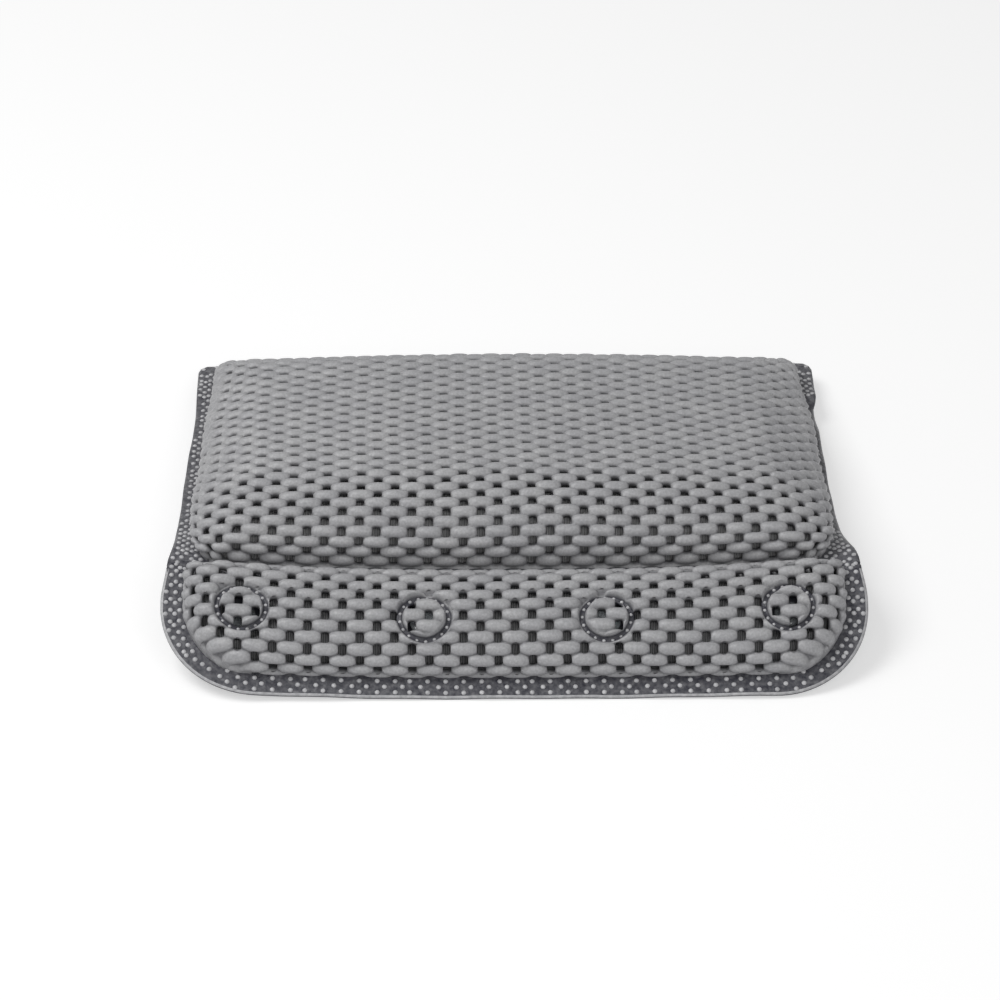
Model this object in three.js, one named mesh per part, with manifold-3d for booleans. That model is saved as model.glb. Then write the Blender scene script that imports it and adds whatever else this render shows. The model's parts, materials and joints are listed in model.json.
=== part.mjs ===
// Bath pillow of foamed bead mesh: a stuffed cushion and a padded flap with suction cups,
// joined by a welded strip that bends as a hinge. Millimetres, +Z up, flap towards -Y.
import * as THREE from 'three';
import { mergeVertices } from 'three/addons/utils/BufferGeometryUtils.js';
import Module from 'manifold-3d';

const wasm = await Module();
wasm.setup();

// Driving dimensions, in millimetres and degrees
const clearance = 0.3; // between pieces that are welded together or seated on each other
const filmThickness = 1.2; // welded flange and hinge strip
const flangeWidth = 10.5;
const floorLift = 0.4; // of the flap's front edge and of the cup lips above the floor

const cushionWidth = 307; // over the flanges
const cushionDepth = 205; // hinge line to the back seam
const cushionCrown = 28.6; // top of the cushion above the hinge line
const cushionSeamFall = 18; // the back seam below the hinge line
const cushionSideFall = 2.5; // the crown at the sides below the crown at the middle, in front
const cushionBackSideFall = 6; // the same at the back
const sideDraw = 1.5; // the sides are drawn in this much between their corners
const backDraw = 2;
const crownSlopeFront = 9.6; // fall of the top surface behind the front roll
const crownSlopeBack = 10.1; // fall of the top surface at the back
const frontRoll = 44; // plan depth of the rounded front of the cushion
const backRoll = 20;
const sideRoll = 26;
const frontFullness = 3.9; // 2 is an ellipse, more is boxier
const edgeFullness = 2.2;
const bellyFrontRun = 30; // plan depth of the slope under the hinge
const bellyBackRun = 42;
const bellySideRun = 24;
const bellyFullness = 1.25;
const cushionFrontCorner = 10; // plan radius of the seam
const cushionBackCorner = 8;
const sideSwellFront = 13; // how far the side walls stand out over their seam, in front
const sideSwellBack = 6; // the same at the back
const backSwell = 3;
const seamGap = 0.5; // between the cushion's seam and its flange
const flangeCornerCut = 5; // chamfer of the flange at the back corners
const flareRun = 45; // depth in which the flange widens to the flap's width
const coverThickness = 4;
const ribPitch = 11.4; // ridges of the bead mesh, two rows of beads each
const ribShare = 0.7; // share of the cover's thickness that the valleys between them take
const ribSideFade = 20; // the ridges are melted flat towards the side seams
const backingThickness = 2.5;
const coreEase = 2.5; // plan gap between the core's edge and the panels
const coreEdge = 0.6; // height of the core's blunt edge

const flapOverhang = 6.5; // the flap is this much wider than the cushion at each end
const flapLength = 54.7; // hinge line to the front seam
const flapTilt = 25; // fall of the flap from the hinge to its front edge
const flapCrown = 16; // crest of the flap above its flange
const flapHeel = 5.5; // height of the flap beside the hinge, at the middle
const flapHeelEnd = 12; // the same at the ends
const flapCrestReach = 30; // hinge line to the crest
const flapFrontRoll = 24;
const flapHeelRoll = 5;
const flapSideRoll = 18;
const flapFrontCorner = 43; // radius over the flange
const flapHeelCorner = 11;
const flangeHeelCorner = 2;
const flapBackingThickness = 1.8;

const ringEndInset = 37; // end of the flap to the centre of its last ring
const ringReach = 31.4; // hinge line to the two middle rings
const ringBow = 3.5; // the outer rings sit this much nearer the hinge
const ringOuterDiameter = 26;
const ringBand = 3.25; // width of the ring weld
const ringThickness = 1.6;
const grooveDepth = 2.4; // least depth of the ring below the cover
const wellWall = 1.5;
const ringCount = 4;

const cupDiameter = 36;
const cupLip = 1.8; // width of the flat lip and thickness of the cup's wall
const cupWaistDiameter = 20; // of the cup where it enters the well
const cupNeckDiameter = 7;
const cupHeadDiameter = 13;
const cupHeadThickness = 2.4;
const cupShoulderHeight = 5; // of the cup's solid middle above the flap's flange

const hingeHalfWidth = 2.1;

// Distance at which two points count as one
const mergeDistance = 1e-4;

// Counts of steps along the surfaces
const rollSteps = 6;
const sideRollSteps = 4;
const cushionMiddleSteps = 10;
const cushionAcrossSteps = 5;
const profileSteps = 600;
const backingMiddleSteps = 7;
const flapMiddleSteps = 12;
const flapLengthSteps = 4;
const edgeSteps = 12;
const roundSteps = 24;
const cornerSteps = 6;

// Derived places
const tilt = THREE.MathUtils.degToRad(flapTilt);
const flapReach = flapLength + flangeWidth;
const hingeHeight = flapReach * Math.sin(tilt) + (filmThickness / 2) * Math.cos(tilt) + floorLift;
const hingeGap = hingeHalfWidth + clearance; // hinge line to the first edge of cushion and flap
const cushionHalf = cushionWidth / 2 - flangeWidth;
const flapWidth = cushionWidth + 2 * flapOverhang; // over the flanges
const flapHalf = flapWidth / 2 - flangeWidth;
const cushionLean = Math.atan(cushionSeamFall / cushionDepth);
const ringInnerDiameter = ringOuterDiameter - 2 * ringBand;
const cupRadius = cupDiameter / 2;
const ringPitch = (flapWidth - 2 * ringEndInset) / (ringCount - 1);
const cupDrop =
  (hingeHeight - (ringReach + cupRadius) * Math.sin(tilt) - floorLift) / Math.cos(tilt);
const ringCentres = Array.from({ length: ringCount }, (_, index) => {
  const step = 2 * index - (ringCount - 1);
  const outermost = ringCount - 1;
  return {
    x: (step / 2) * ringPitch,
    reach: ringReach - (ringBow * (step * step - 1)) / (outermost * outermost - 1),
  };
});

// Rounded rise from 0 at an edge to 1 at a run's end
function rise(distance, run, fullness) {
  const left = 1 - THREE.MathUtils.clamp(distance / run, 0, 1);
  return Math.pow(1 - Math.pow(left, fullness), 1 / fullness);
}

// Coordinates from first to last, closer together in the rolls at both ends
function stations(first, last, firstRoll, lastRoll, middleSteps, endSteps = rollSteps) {
  const places = [];
  for (let step = 0; step < endSteps; step += 1) {
    places.push(first + firstRoll * (1 - Math.cos((step / endSteps) * (Math.PI / 2))));
  }
  const start = first + firstRoll;
  const end = last - lastRoll;
  for (let step = 0; step <= middleSteps; step += 1) {
    places.push(start + ((end - start) * step) / middleSteps);
  }
  for (let step = endSteps - 1; step >= 0; step -= 1) {
    places.push(last - lastRoll * (1 - Math.cos((step / endSteps) * (Math.PI / 2))));
  }
  return places;
}

// Closed body between an upper and a lower net of points of equal size
function bodyBetween(upper, lower) {
  const rows = upper.length;
  const columns = upper[0].length;
  const positions = [...upper.flat(2), ...lower.flat(2)];
  const top = (row, column) => row * columns + column;
  const bottom = (row, column) => rows * columns + top(row, column);
  const triangles = [];
  const quad = (a, b, c, d) => triangles.push(a, b, c, a, c, d);
  for (let row = 0; row < rows - 1; row += 1) {
    for (let column = 0; column < columns - 1; column += 1) {
      quad(top(row, column), top(row, column + 1), top(row + 1, column + 1), top(row + 1, column));
      quad(
        bottom(row, column),
        bottom(row + 1, column),
        bottom(row + 1, column + 1),
        bottom(row, column + 1),
      );
    }
  }
  for (let column = 0; column < columns - 1; column += 1) {
    const last = rows - 1;
    quad(top(0, column), bottom(0, column), bottom(0, column + 1), top(0, column + 1));
    quad(top(last, column), top(last, column + 1), bottom(last, column + 1), bottom(last, column));
  }
  for (let row = 0; row < rows - 1; row += 1) {
    const last = columns - 1;
    quad(top(row, 0), top(row + 1, 0), bottom(row + 1, 0), bottom(row, 0));
    quad(top(row, last), bottom(row, last), bottom(row + 1, last), top(row + 1, last));
  }
  const geometry = new THREE.BufferGeometry();
  geometry.setAttribute('position', new THREE.Float32BufferAttribute(positions, 3));
  geometry.setIndex(triangles);
  return geometry;
}

// Geometry with shared vertices and without empty triangles
function welded(geometry) {
  const bare = geometry.clone();
  bare.deleteAttribute('normal');
  bare.deleteAttribute('uv');
  const merged = mergeVertices(bare, mergeDistance);
  const kept = [];
  const index = merged.index.array;
  for (let at = 0; at < index.length; at += 3) {
    const [a, b, c] = index.slice(at, at + 3);
    if (a !== b && b !== c && c !== a) {
      kept.push(a, b, c);
    }
  }
  merged.setIndex(kept);
  return merged;
}

function solidOf(geometry) {
  const shared = welded(geometry);
  return new wasm.Manifold(
    new wasm.Mesh({
      numProp: 3,
      vertProperties: new Float32Array(shared.attributes.position.array),
      triVerts: new Uint32Array(shared.index.array),
    }),
  );
}

function geometryOf(solid) {
  const mesh = solid.getMesh();
  const geometry = new THREE.BufferGeometry();
  geometry.setAttribute('position', new THREE.Float32BufferAttribute(mesh.vertProperties, 3));
  geometry.setIndex([...mesh.triVerts]);
  return geometry;
}

// Body of revolution about a vertical axis through a point, from [radius, height] pairs
function turned(profile, x, y) {
  const points = profile.map(([radius, height]) => new THREE.Vector2(radius, height));
  const geometry = new THREE.LatheGeometry(points, roundSteps);
  geometry.rotateX(Math.PI / 2);
  geometry.translate(x, y, 0);
  return welded(geometry);
}

function cylinder(radius, bottom, top, x, y) {
  return turned([[0, bottom], [radius, bottom], [radius, top], [0, top]], x, y);
}

function tube(innerRadius, outerRadius, bottom, top, x, y) {
  const profile = [
    [innerRadius, bottom],
    [outerRadius, bottom],
    [outerRadius, top],
    [innerRadius, top],
    [innerRadius, bottom],
  ];
  return turned(profile, x, y);
}

// Flat plate of an outline in the XY plane
function plate(shape, bottom, top) {
  const settings = { depth: top - bottom, bevelEnabled: false, curveSegments: cornerSteps };
  const geometry = new THREE.ExtrudeGeometry(shape, settings);
  geometry.translate(0, 0, bottom);
  return welded(geometry);
}

// Cushion surfaces over a flat plan, with the hinge line at y = 0
const seamHeight = (y) => hingeHeight - (cushionSeamFall * y) / cushionDepth;

// Place in the plan with round corners of a point of the square plan
function rounded(x, y) {
  const nearFront = y < cushionDepth / 2;
  const radius = nearFront ? cushionFrontCorner : cushionBackCorner;
  const edge = nearFront ? hingeGap : cushionDepth;
  const inward = nearFront ? 1 : -1;
  const across = THREE.MathUtils.clamp(1 - (cushionHalf - Math.abs(x)) / radius, 0, 1);
  const along = THREE.MathUtils.clamp(1 - (inward * (y - edge)) / radius, 0, 1);
  const pullX = radius * across * (1 - Math.sqrt(1 - (along * along) / 2));
  const pullY = radius * along * (1 - Math.sqrt(1 - (across * across) / 2));
  return { x: x - Math.sign(x) * pullX, y: y + inward * pullY };
}

// Place in the stuffed cushion of a point of its plan: the sides and the back are drawn in
function drawnIn({ x, y }) {
  const share = THREE.MathUtils.clamp((y - hingeGap) / (cushionDepth - hingeGap), 0, 1);
  const middle = Math.cos((THREE.MathUtils.clamp(x / cushionHalf, -1, 1) * Math.PI) / 2);
  return {
    x: x * (1 - (sideDraw / cushionHalf) * Math.sin(share * Math.PI)),
    y: y - backDraw * share * share * middle,
  };
}

function crownHeight(y) {
  const slopeFront = Math.tan(THREE.MathUtils.degToRad(crownSlopeFront));
  const slopeBack = Math.tan(THREE.MathUtils.degToRad(crownSlopeBack));
  const run = Math.max(y - frontRoll, 0);
  const steepening = (slopeBack - slopeFront) / (2 * (cushionDepth - frontRoll));
  return hingeHeight + cushionCrown - slopeFront * run - steepening * run * run;
}

// Share of a wall's swell at a share of its height: none at the seam and at the top, 1 at two thirds
const swellAt = (share) => (27 / 4) * share * share * (1 - share);

// Closeness to an edge: 1 on it, 0 from the end of its roll
const nearEdge = (distance, roll) => Math.pow(1 - THREE.MathUtils.clamp(distance / roll, 0, 1), 2);

function cushionTop(x, y, inset, thickness, rim) {
  const frontDistance = y - hingeGap - inset;
  const backDistance = cushionDepth - inset - y;
  const sideDistance = cushionHalf - inset - Math.abs(x);
  const rolls = upperRolls(inset);
  const share =
    rise(frontDistance, rolls.front, frontFullness) *
    rise(backDistance, rolls.back, edgeFullness) *
    rise(sideDistance, rolls.side, edgeFullness);
  const back = y / cushionDepth;
  const sideFall = THREE.MathUtils.lerp(cushionSideFall, cushionBackSideFall, back);
  const sag = sideFall * Math.pow(x / cushionHalf, 2);
  const place = drawnIn(rounded(x, y));
  const seam = seamHeight(place.y);
  const full = crownHeight(y) - sag - thickness - seam - rim;
  const swell = (swellAt(share) * full) / cushionCrown;
  const sideSwell = THREE.MathUtils.lerp(sideSwellFront, sideSwellBack, back);
  const sideways = sideSwell * nearEdge(sideDistance, rolls.side);
  const backwards = backSwell * nearEdge(backDistance, rolls.back);
  return [
    place.x + Math.sign(x) * sideways * swell,
    place.y + backwards * swell,
    seam + rim + full * share,
  ];
}

function cushionBottom(x, y, inset, thickness, rim) {
  const share =
    rise(y - hingeGap - inset, bellyFrontRun, bellyFullness) *
    rise(cushionDepth - inset - y, bellyBackRun, bellyFullness) *
    rise(cushionHalf - inset - Math.abs(x), bellySideRun, bellyFullness);
  const place = drawnIn(rounded(x, y));
  const seam = seamHeight(place.y);
  return [place.x, place.y, seam - rim - (seam - rim - thickness) * share];
}

const lowerRolls = { front: bellyFrontRun, back: bellyBackRun, side: bellySideRun };

function upperRolls(inset) {
  return { front: frontRoll - inset, back: backRoll - inset, side: sideRoll - inset };
}

// Places over the plan of a cushion panel: columns across it and rows from the front to the back
const columnsOf = (inset, rolls) => {
  const half = cushionHalf - inset;
  return stations(-half, half, rolls.side, rolls.side, cushionAcrossSteps, sideRollSteps);
};
const rowsOf = (inset, rolls, middleSteps) =>
  stations(hingeGap + inset, cushionDepth - inset, rolls.front, rolls.back, middleSteps);

// Net of points over the cushion's plan
const netOf = (columns, rows, pointAt) => rows.map((y) => columns.map((x) => pointAt(x, y)));

// Places along the middle profile of a panel, each with the length of the profile up to it
function middleProfile(inset, pointAt) {
  const first = hingeGap + inset;
  const last = cushionDepth - inset;
  const samples = Array.from({ length: profileSteps + 1 }, (_, step) => {
    const share = (1 - Math.cos((step / profileSteps) * Math.PI)) / 2;
    return THREE.MathUtils.lerp(first, last, share);
  });
  const lengths = [0];
  for (let step = 1; step <= profileSteps; step += 1) {
    const [, y, z] = pointAt(0, samples[step]);
    const [, lastY, lastZ] = pointAt(0, samples[step - 1]);
    lengths.push(lengths[step - 1] + Math.hypot(y - lastY, z - lastZ));
  }
  return { samples, lengths, total: lengths[profileSteps] };
}

// Rows that part a profile into equal lengths
function evenRows({ samples, lengths, total }, count) {
  return Array.from({ length: count + 1 }, (_, row) => {
    const target = total * (row / count);
    const step = Math.max(lengths.findIndex((length) => length >= target), 1);
    const part = (target - lengths[step - 1]) / (lengths[step] - lengths[step - 1]);
    return THREE.MathUtils.lerp(samples[step - 1], samples[step], part);
  });
}

// Top panel, with ridges across it: every second row of its outer net is drawn in
function cushionCover() {
  const rim = clearance / 2;
  const surface = (inset) => (x, y) => cushionTop(x, y, inset, inset, rim);
  const rowCount = 2 * Math.round(middleProfile(0, surface(0)).total / ribPitch);
  const layer = (inset) => {
    const rows = evenRows(middleProfile(inset, surface(inset)), rowCount);
    return netOf(columnsOf(inset, upperRolls(inset)), rows, surface(inset));
  };
  const inner = layer(coverThickness);
  const outer = layer(0).map((line, row) =>
    line.map((point, column) => {
      const fromSide = (cushionHalf - Math.abs(point[0])) / ribSideFade;
      const valley = (row % 2) * ribShare * THREE.MathUtils.clamp(fromSide, 0, 1);
      return point.map((value, axis) => THREE.MathUtils.lerp(value, inner[row][column][axis], valley));
    }),
  );
  return bodyBetween(outer, inner);
}

function cushionBacking() {
  const rim = clearance / 2;
  const layer = (inset, thickness) =>
    netOf(columnsOf(inset, lowerRolls), rowsOf(inset, lowerRolls, backingMiddleSteps), (x, y) =>
      cushionBottom(x, y, inset, thickness, rim),
    );
  return bodyBetween(layer(coverThickness, backingThickness), layer(0, 0));
}

function foamCore() {
  const inset = coverThickness + coreEase;
  const rolls = upperRolls(inset);
  const rim = coreEdge / 2;
  const columns = columnsOf(inset, rolls);
  const rows = rowsOf(inset, rolls, cushionMiddleSteps);
  const upper = netOf(columns, rows, (x, y) =>
    cushionTop(x, y, inset, coverThickness + clearance, rim),
  );
  const lower = netOf(columns, rows, (x, y) =>
    cushionBottom(x, y, inset, backingThickness + clearance, rim),
  );
  return bodyBetween(upper, lower);
}

// Points along a path of the flat plan, drawn in, in the seam's leaning plane
function drawnPoints(path) {
  const flat = path.curves.flatMap((curve) =>
    curve.getPoints(curve.isLineCurve ? edgeSteps : cornerSteps),
  );
  return flat.map((point) => {
    const place = drawnIn(point);
    return new THREE.Vector2(place.x, place.y / Math.cos(cushionLean));
  });
}

// Outer edge of the flange, from the right end of the hinge round the back to the left end
function flangeOutline() {
  const outer = cushionWidth / 2;
  const back = cushionDepth + flangeWidth;
  const flare = flapWidth / 2 - outer;
  const path = new THREE.Path();
  path.moveTo(outer + flare, hingeGap);
  const easeIn = hingeGap + flareRun / 3;
  const easeOut = hingeGap + flareRun / 2;
  path.bezierCurveTo(outer + flare, easeIn, outer, easeOut, outer, hingeGap + flareRun);
  path.lineTo(outer, back - flangeCornerCut);
  path.lineTo(outer - flangeCornerCut, back);
  path.lineTo(flangeCornerCut - outer, back);
  path.lineTo(-outer, back - flangeCornerCut);
  path.lineTo(-outer, hingeGap + flareRun);
  path.bezierCurveTo(-outer, easeOut, -outer - flare, easeIn, -outer - flare, hingeGap);
  return path;
}

// Inner edge of the flange along the seam, from the left end of the front to the right end
function seamOutline() {
  const frontRadius = cushionFrontCorner + seamGap;
  const backRadius = cushionBackCorner + seamGap;
  const frontX = cushionHalf - cushionFrontCorner;
  const frontY = hingeGap + cushionFrontCorner;
  const backX = cushionHalf - cushionBackCorner;
  const backY = cushionDepth - cushionBackCorner;
  const right = 0;
  const up = Math.PI / 2;
  const left = Math.PI;
  const frontEnd = Math.asin(cushionFrontCorner / frontRadius);
  const path = new THREE.Path();
  path.absarc(-frontX, frontY, frontRadius, left + frontEnd, left, true);
  path.absarc(-backX, backY, backRadius, left, up, true);
  path.absarc(backX, backY, backRadius, up, right, true);
  path.absarc(frontX, frontY, frontRadius, right, -frontEnd, true);
  return path;
}

// Flange along the left, back and right seams
function cushionEdgeWeld() {
  const outline = [...drawnPoints(flangeOutline()), ...drawnPoints(seamOutline())];
  return plate(new THREE.Shape(outline), -filmThickness / 2, filmThickness / 2);
}

function hingeWeld() {
  const half = flapWidth / 2;
  const shape = new THREE.Shape();
  shape.moveTo(-half, -hingeHalfWidth);
  shape.lineTo(half, -hingeHalfWidth);
  shape.lineTo(half, hingeHalfWidth);
  shape.lineTo(-half, hingeHalfWidth);
  shape.closePath();
  return plate(shape, -filmThickness / 2, filmThickness / 2);
}

// Flap surfaces, in the flap's own plane: reach is the distance from the hinge line
function flapHalfAt(reach, inset) {
  const frontCorner = flapFrontCorner - flangeWidth - inset;
  const intoFront = Math.max(reach - (flapLength - inset - frontCorner), 0);
  const frontCut = frontCorner - Math.sqrt(Math.max(frontCorner ** 2 - intoFront ** 2, 0));
  const intoHeel = Math.max(hingeGap + inset + flapHeelCorner - reach, 0);
  const heelCut = flapHeelCorner - Math.sqrt(Math.max(flapHeelCorner ** 2 - intoHeel ** 2, 0));
  return flapHalf - inset - frontCut - heelCut;
}

function flapTop(x, reach, inset, rim) {
  const fromCrest = 1 - Math.min(reach / flapCrestReach, 1);
  const heelHeight = THREE.MathUtils.lerp(flapHeel, flapHeelEnd, Math.pow(Math.abs(x) / flapHalf, 3));
  const crest = flapCrown - (flapCrown - heelHeight) * fromCrest * fromCrest;
  const front = rise(flapLength - inset - reach, flapFrontRoll - inset, edgeFullness);
  const heel = rise(reach - hingeGap - inset, flapHeelRoll, edgeFullness);
  const side = rise(flapHalfAt(reach, inset) - Math.abs(x), flapSideRoll - inset, edgeFullness);
  return rim + Math.max(crest - inset - rim, 0) * front * heel * side;
}

function flapNet(inset, height) {
  const heel = hingeGap + inset;
  const front = flapLength - inset;
  const along = stations(heel, front, flapHeelRoll, flapFrontRoll - inset, flapLengthSteps);
  const sideRun = flapSideRoll - inset;
  return along.map((reach) => {
    const half = flapHalfAt(reach, inset);
    const across = stations(-half, half, sideRun, sideRun, flapMiddleSteps);
    return across.map((x) => [x, -reach, height(x, reach)]).reverse();
  });
}

const ringTopAt = ({ x, reach }) => flapTop(x, reach - ringOuterDiameter / 2, 0, 0) - grooveDepth;
const wellTopAt = (centre) => ringTopAt(centre) - ringThickness - clearance;
const headTopAt = (centre) => wellTopAt(centre) + clearance + cupHeadThickness;
const wellRadius = ringOuterDiameter / 2 - clearance;
const discRadius = ringInnerDiameter / 2;

function flapShell() {
  const rim = filmThickness / 2;
  const outer = flapNet(0, (x, reach) => flapTop(x, reach, 0, rim));
  const inner = flapNet(coverThickness, (x, reach) => flapTop(x, reach, coverThickness, rim));
  return solidOf(bodyBetween(outer, inner));
}

const wholeFlapShell = flapShell();

function flapCover() {
  let cover = wholeFlapShell;
  for (const { x, reach } of ringCentres) {
    cover = cover.subtract(solidOf(cylinder(ringOuterDiameter / 2, 0, 2 * flapCrown, x, -reach)));
  }
  return geometryOf(cover);
}

// Disc of cover inside a ring, hollowed below for the head of the suction cup
function pocketDisc(centre) {
  const { x, reach } = centre;
  const hollowTop = headTopAt(centre) + clearance;
  const whole = solidOf(cylinder(discRadius, wellTopAt(centre) + clearance, 2 * flapCrown, x, -reach));
  const hollow = solidOf(cylinder(cupHeadDiameter / 2 + clearance, 0, hollowTop, x, -reach));
  return geometryOf(wholeFlapShell.intersect(whole).subtract(hollow));
}

function ringWeld(centre) {
  const top = ringTopAt(centre);
  const bottom = top - ringThickness;
  return tube(discRadius + clearance, wellRadius, bottom, top, centre.x, -centre.reach);
}

function flapPad() {
  const inset = coverThickness + clearance;
  const rim = filmThickness / 2 + clearance;
  const upper = flapNet(inset, (x, reach) => flapTop(x, reach, inset, rim));
  const lower = flapNet(inset, () => clearance / 2);
  let pad = solidOf(bodyBetween(upper, lower));
  for (const { x, reach } of ringCentres) {
    pad = pad.subtract(solidOf(cylinder(wellRadius + clearance, -flapCrown, 2 * flapCrown, x, -reach)));
  }
  return geometryOf(pad);
}

// Outline of the flap from its heel round the front, as a shape in the flap's plane
function flapOutline(half, heel, front, frontCorner, heelCorner) {
  const shape = new THREE.Shape();
  shape.moveTo(half - heelCorner, -heel);
  shape.lineTo(heelCorner - half, -heel);
  shape.absarc(heelCorner - half, -heel - heelCorner, heelCorner, Math.PI / 2, Math.PI, false);
  shape.lineTo(-half, frontCorner - front);
  shape.absarc(frontCorner - half, frontCorner - front, frontCorner, Math.PI, Math.PI * 1.5, false);
  shape.lineTo(half - frontCorner, -front);
  shape.absarc(half - frontCorner, frontCorner - front, frontCorner, Math.PI * 1.5, Math.PI * 2, false);
  shape.lineTo(half, -heel - heelCorner);
  shape.absarc(half - heelCorner, -heel - heelCorner, heelCorner, 0, Math.PI / 2, false);
  shape.closePath();
  return shape;
}

// Lower panel, drawn up into a round well under each ring, with a hole for the cup's neck
function flapBacking() {
  const top = -clearance / 2;
  const bottom = top - flapBackingThickness;
  const corner = flapFrontCorner - flangeWidth;
  const outline = flapOutline(flapHalf, hingeGap, flapLength, corner, flapHeelCorner);
  let sheet = solidOf(plate(outline, bottom, top));
  for (const centre of ringCentres) {
    const { x, reach } = centre;
    const wellTop = wellTopAt(centre);
    const ceiling = wellTop - wellWall;
    const well = solidOf(cylinder(wellRadius, bottom, wellTop, x, -reach));
    const bowl = solidOf(cylinder(wellRadius - wellWall, bottom - wellWall, ceiling, x, -reach));
    const hole = solidOf(cylinder(cupNeckDiameter / 2 + clearance, bottom, 2 * wellTop, x, -reach));
    sheet = sheet.add(well).subtract(bowl).subtract(hole);
  }
  return geometryOf(sheet);
}

function flapEdgeWeld() {
  const half = flapHalf + clearance;
  const front = flapLength + clearance;
  const corner = flapFrontCorner - flangeWidth;
  const outer = flapOutline(flapWidth / 2, hingeGap, flapReach, flapFrontCorner, flangeHeelCorner);
  const inner = flapOutline(half, hingeGap - clearance, front, corner, flapHeelCorner);
  const rim = filmThickness / 2 - clearance / 2;
  const cut = solidOf(plate(inner, -filmThickness, filmThickness));
  return geometryOf(solidOf(plate(outer, -rim, rim)).subtract(cut));
}

// Moulded suction cup: hollow cup, neck through the well and a head that holds it
function suctionCup(centre) {
  const lipHeight = -cupDrop;
  const wellTop = wellTopAt(centre);
  const headBottom = wellTop + clearance;
  const headTop = headTopAt(centre);
  const headRadius = cupHeadDiameter / 2;
  const neckRadius = cupNeckDiameter / 2;
  const waistRadius = cupWaistDiameter / 2;
  const waistHeight = -clearance - flapBackingThickness - cupLip;
  const hollowTop = waistHeight + cupLip;
  const flare = (share) => ({
    radius: THREE.MathUtils.lerp(waistRadius, cupRadius, share),
    height: THREE.MathUtils.lerp(waistHeight, lipHeight + cupLip, share * share),
  });
  const middle = flare(1 / 2);
  const profile = [
    [0, hollowTop],
    [neckRadius, hollowTop - cupLip / 2],
    [waistRadius - cupLip / 2, waistHeight - cupLip / 2],
    [middle.radius - cupLip / 2, middle.height - cupLip],
    [cupRadius - cupLip, lipHeight],
    [cupRadius, lipHeight],
    [cupRadius, lipHeight + cupLip / 2],
    [middle.radius, middle.height],
    [waistRadius, waistHeight],
    [waistRadius - cupLip / 2, waistHeight + cupLip],
    [neckRadius + cupLip, cupShoulderHeight - cupLip],
    [neckRadius, cupShoulderHeight],
    [neckRadius, headBottom],
    [headRadius, headBottom],
    [headRadius, headTop - cupLip / 2],
    [headRadius - cupLip, headTop],
    [0, headTop],
  ];
  return turned(profile, centre.x, -centre.reach);
}

// Materials
const finish = (color, roughness) => new THREE.MeshStandardMaterial({ color, roughness, metalness: 0 });
const beadMesh = finish(0x8e8f92, 0.75);
const weldedFilm = finish(0x5c5d62, 0.5);
const paddingFoam = finish(0xb9b7b0, 0.95);
const clearVinyl = finish(0xc9d2d6, 0.2);

function piece(name, geometry, material) {
  const mesh = new THREE.Mesh(geometry, material.clone());
  mesh.name = name;
  return mesh;
}

// Assembly: the cushion and the flap each in a group, the flap turned about the hinge line
const pillow = new THREE.Group();

const cushion = new THREE.Group();
cushion.add(piece('cushion_cover', cushionCover(), beadMesh));
cushion.add(piece('cushion_backing', cushionBacking(), beadMesh));
cushion.add(piece('foam_core', foamCore(), paddingFoam));
const cushionEdge = piece('cushion_edge_weld', cushionEdgeWeld(), weldedFilm);
cushionEdge.position.z = hingeHeight;
cushionEdge.rotation.x = -cushionLean;
cushion.add(cushionEdge);
const hinge = piece('hinge_weld', hingeWeld(), weldedFilm);
hinge.position.z = hingeHeight;
cushion.add(hinge);
pillow.add(cushion);

const flap = new THREE.Group();
flap.position.z = hingeHeight;
flap.rotation.x = tilt;
flap.add(piece('flap_cover', flapCover(), beadMesh));
flap.add(piece('flap_pad', flapPad(), paddingFoam));
flap.add(piece('flap_backing', flapBacking(), beadMesh));
flap.add(piece('flap_edge_weld', flapEdgeWeld(), weldedFilm));
ringCentres.forEach((centre, index) => {
  const number = index + 1;
  flap.add(piece(`ring_weld_${number}`, ringWeld(centre), weldedFilm));
  flap.add(piece(`pocket_disc_${number}`, pocketDisc(centre), beadMesh));
  flap.add(piece(`suction_cup_${number}`, suctionCup(centre), clearVinyl));
});
pillow.add(flap);

// Origin at the middle of the pillow's footprint, on the floor
pillow.updateMatrixWorld(true);
const bounds = new THREE.Box3().setFromObject(pillow, true);
const middle = bounds.getCenter(new THREE.Vector3());
pillow.position.set(-middle.x, -middle.y, -bounds.min.z);

export default pillow;
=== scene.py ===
"""Bath pillow of grey bead mesh: a stuffed cushion and a padded flap with suction cups."""

import json
import math

import bpy
import numpy as np
from mathutils import Matrix, Vector


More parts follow.
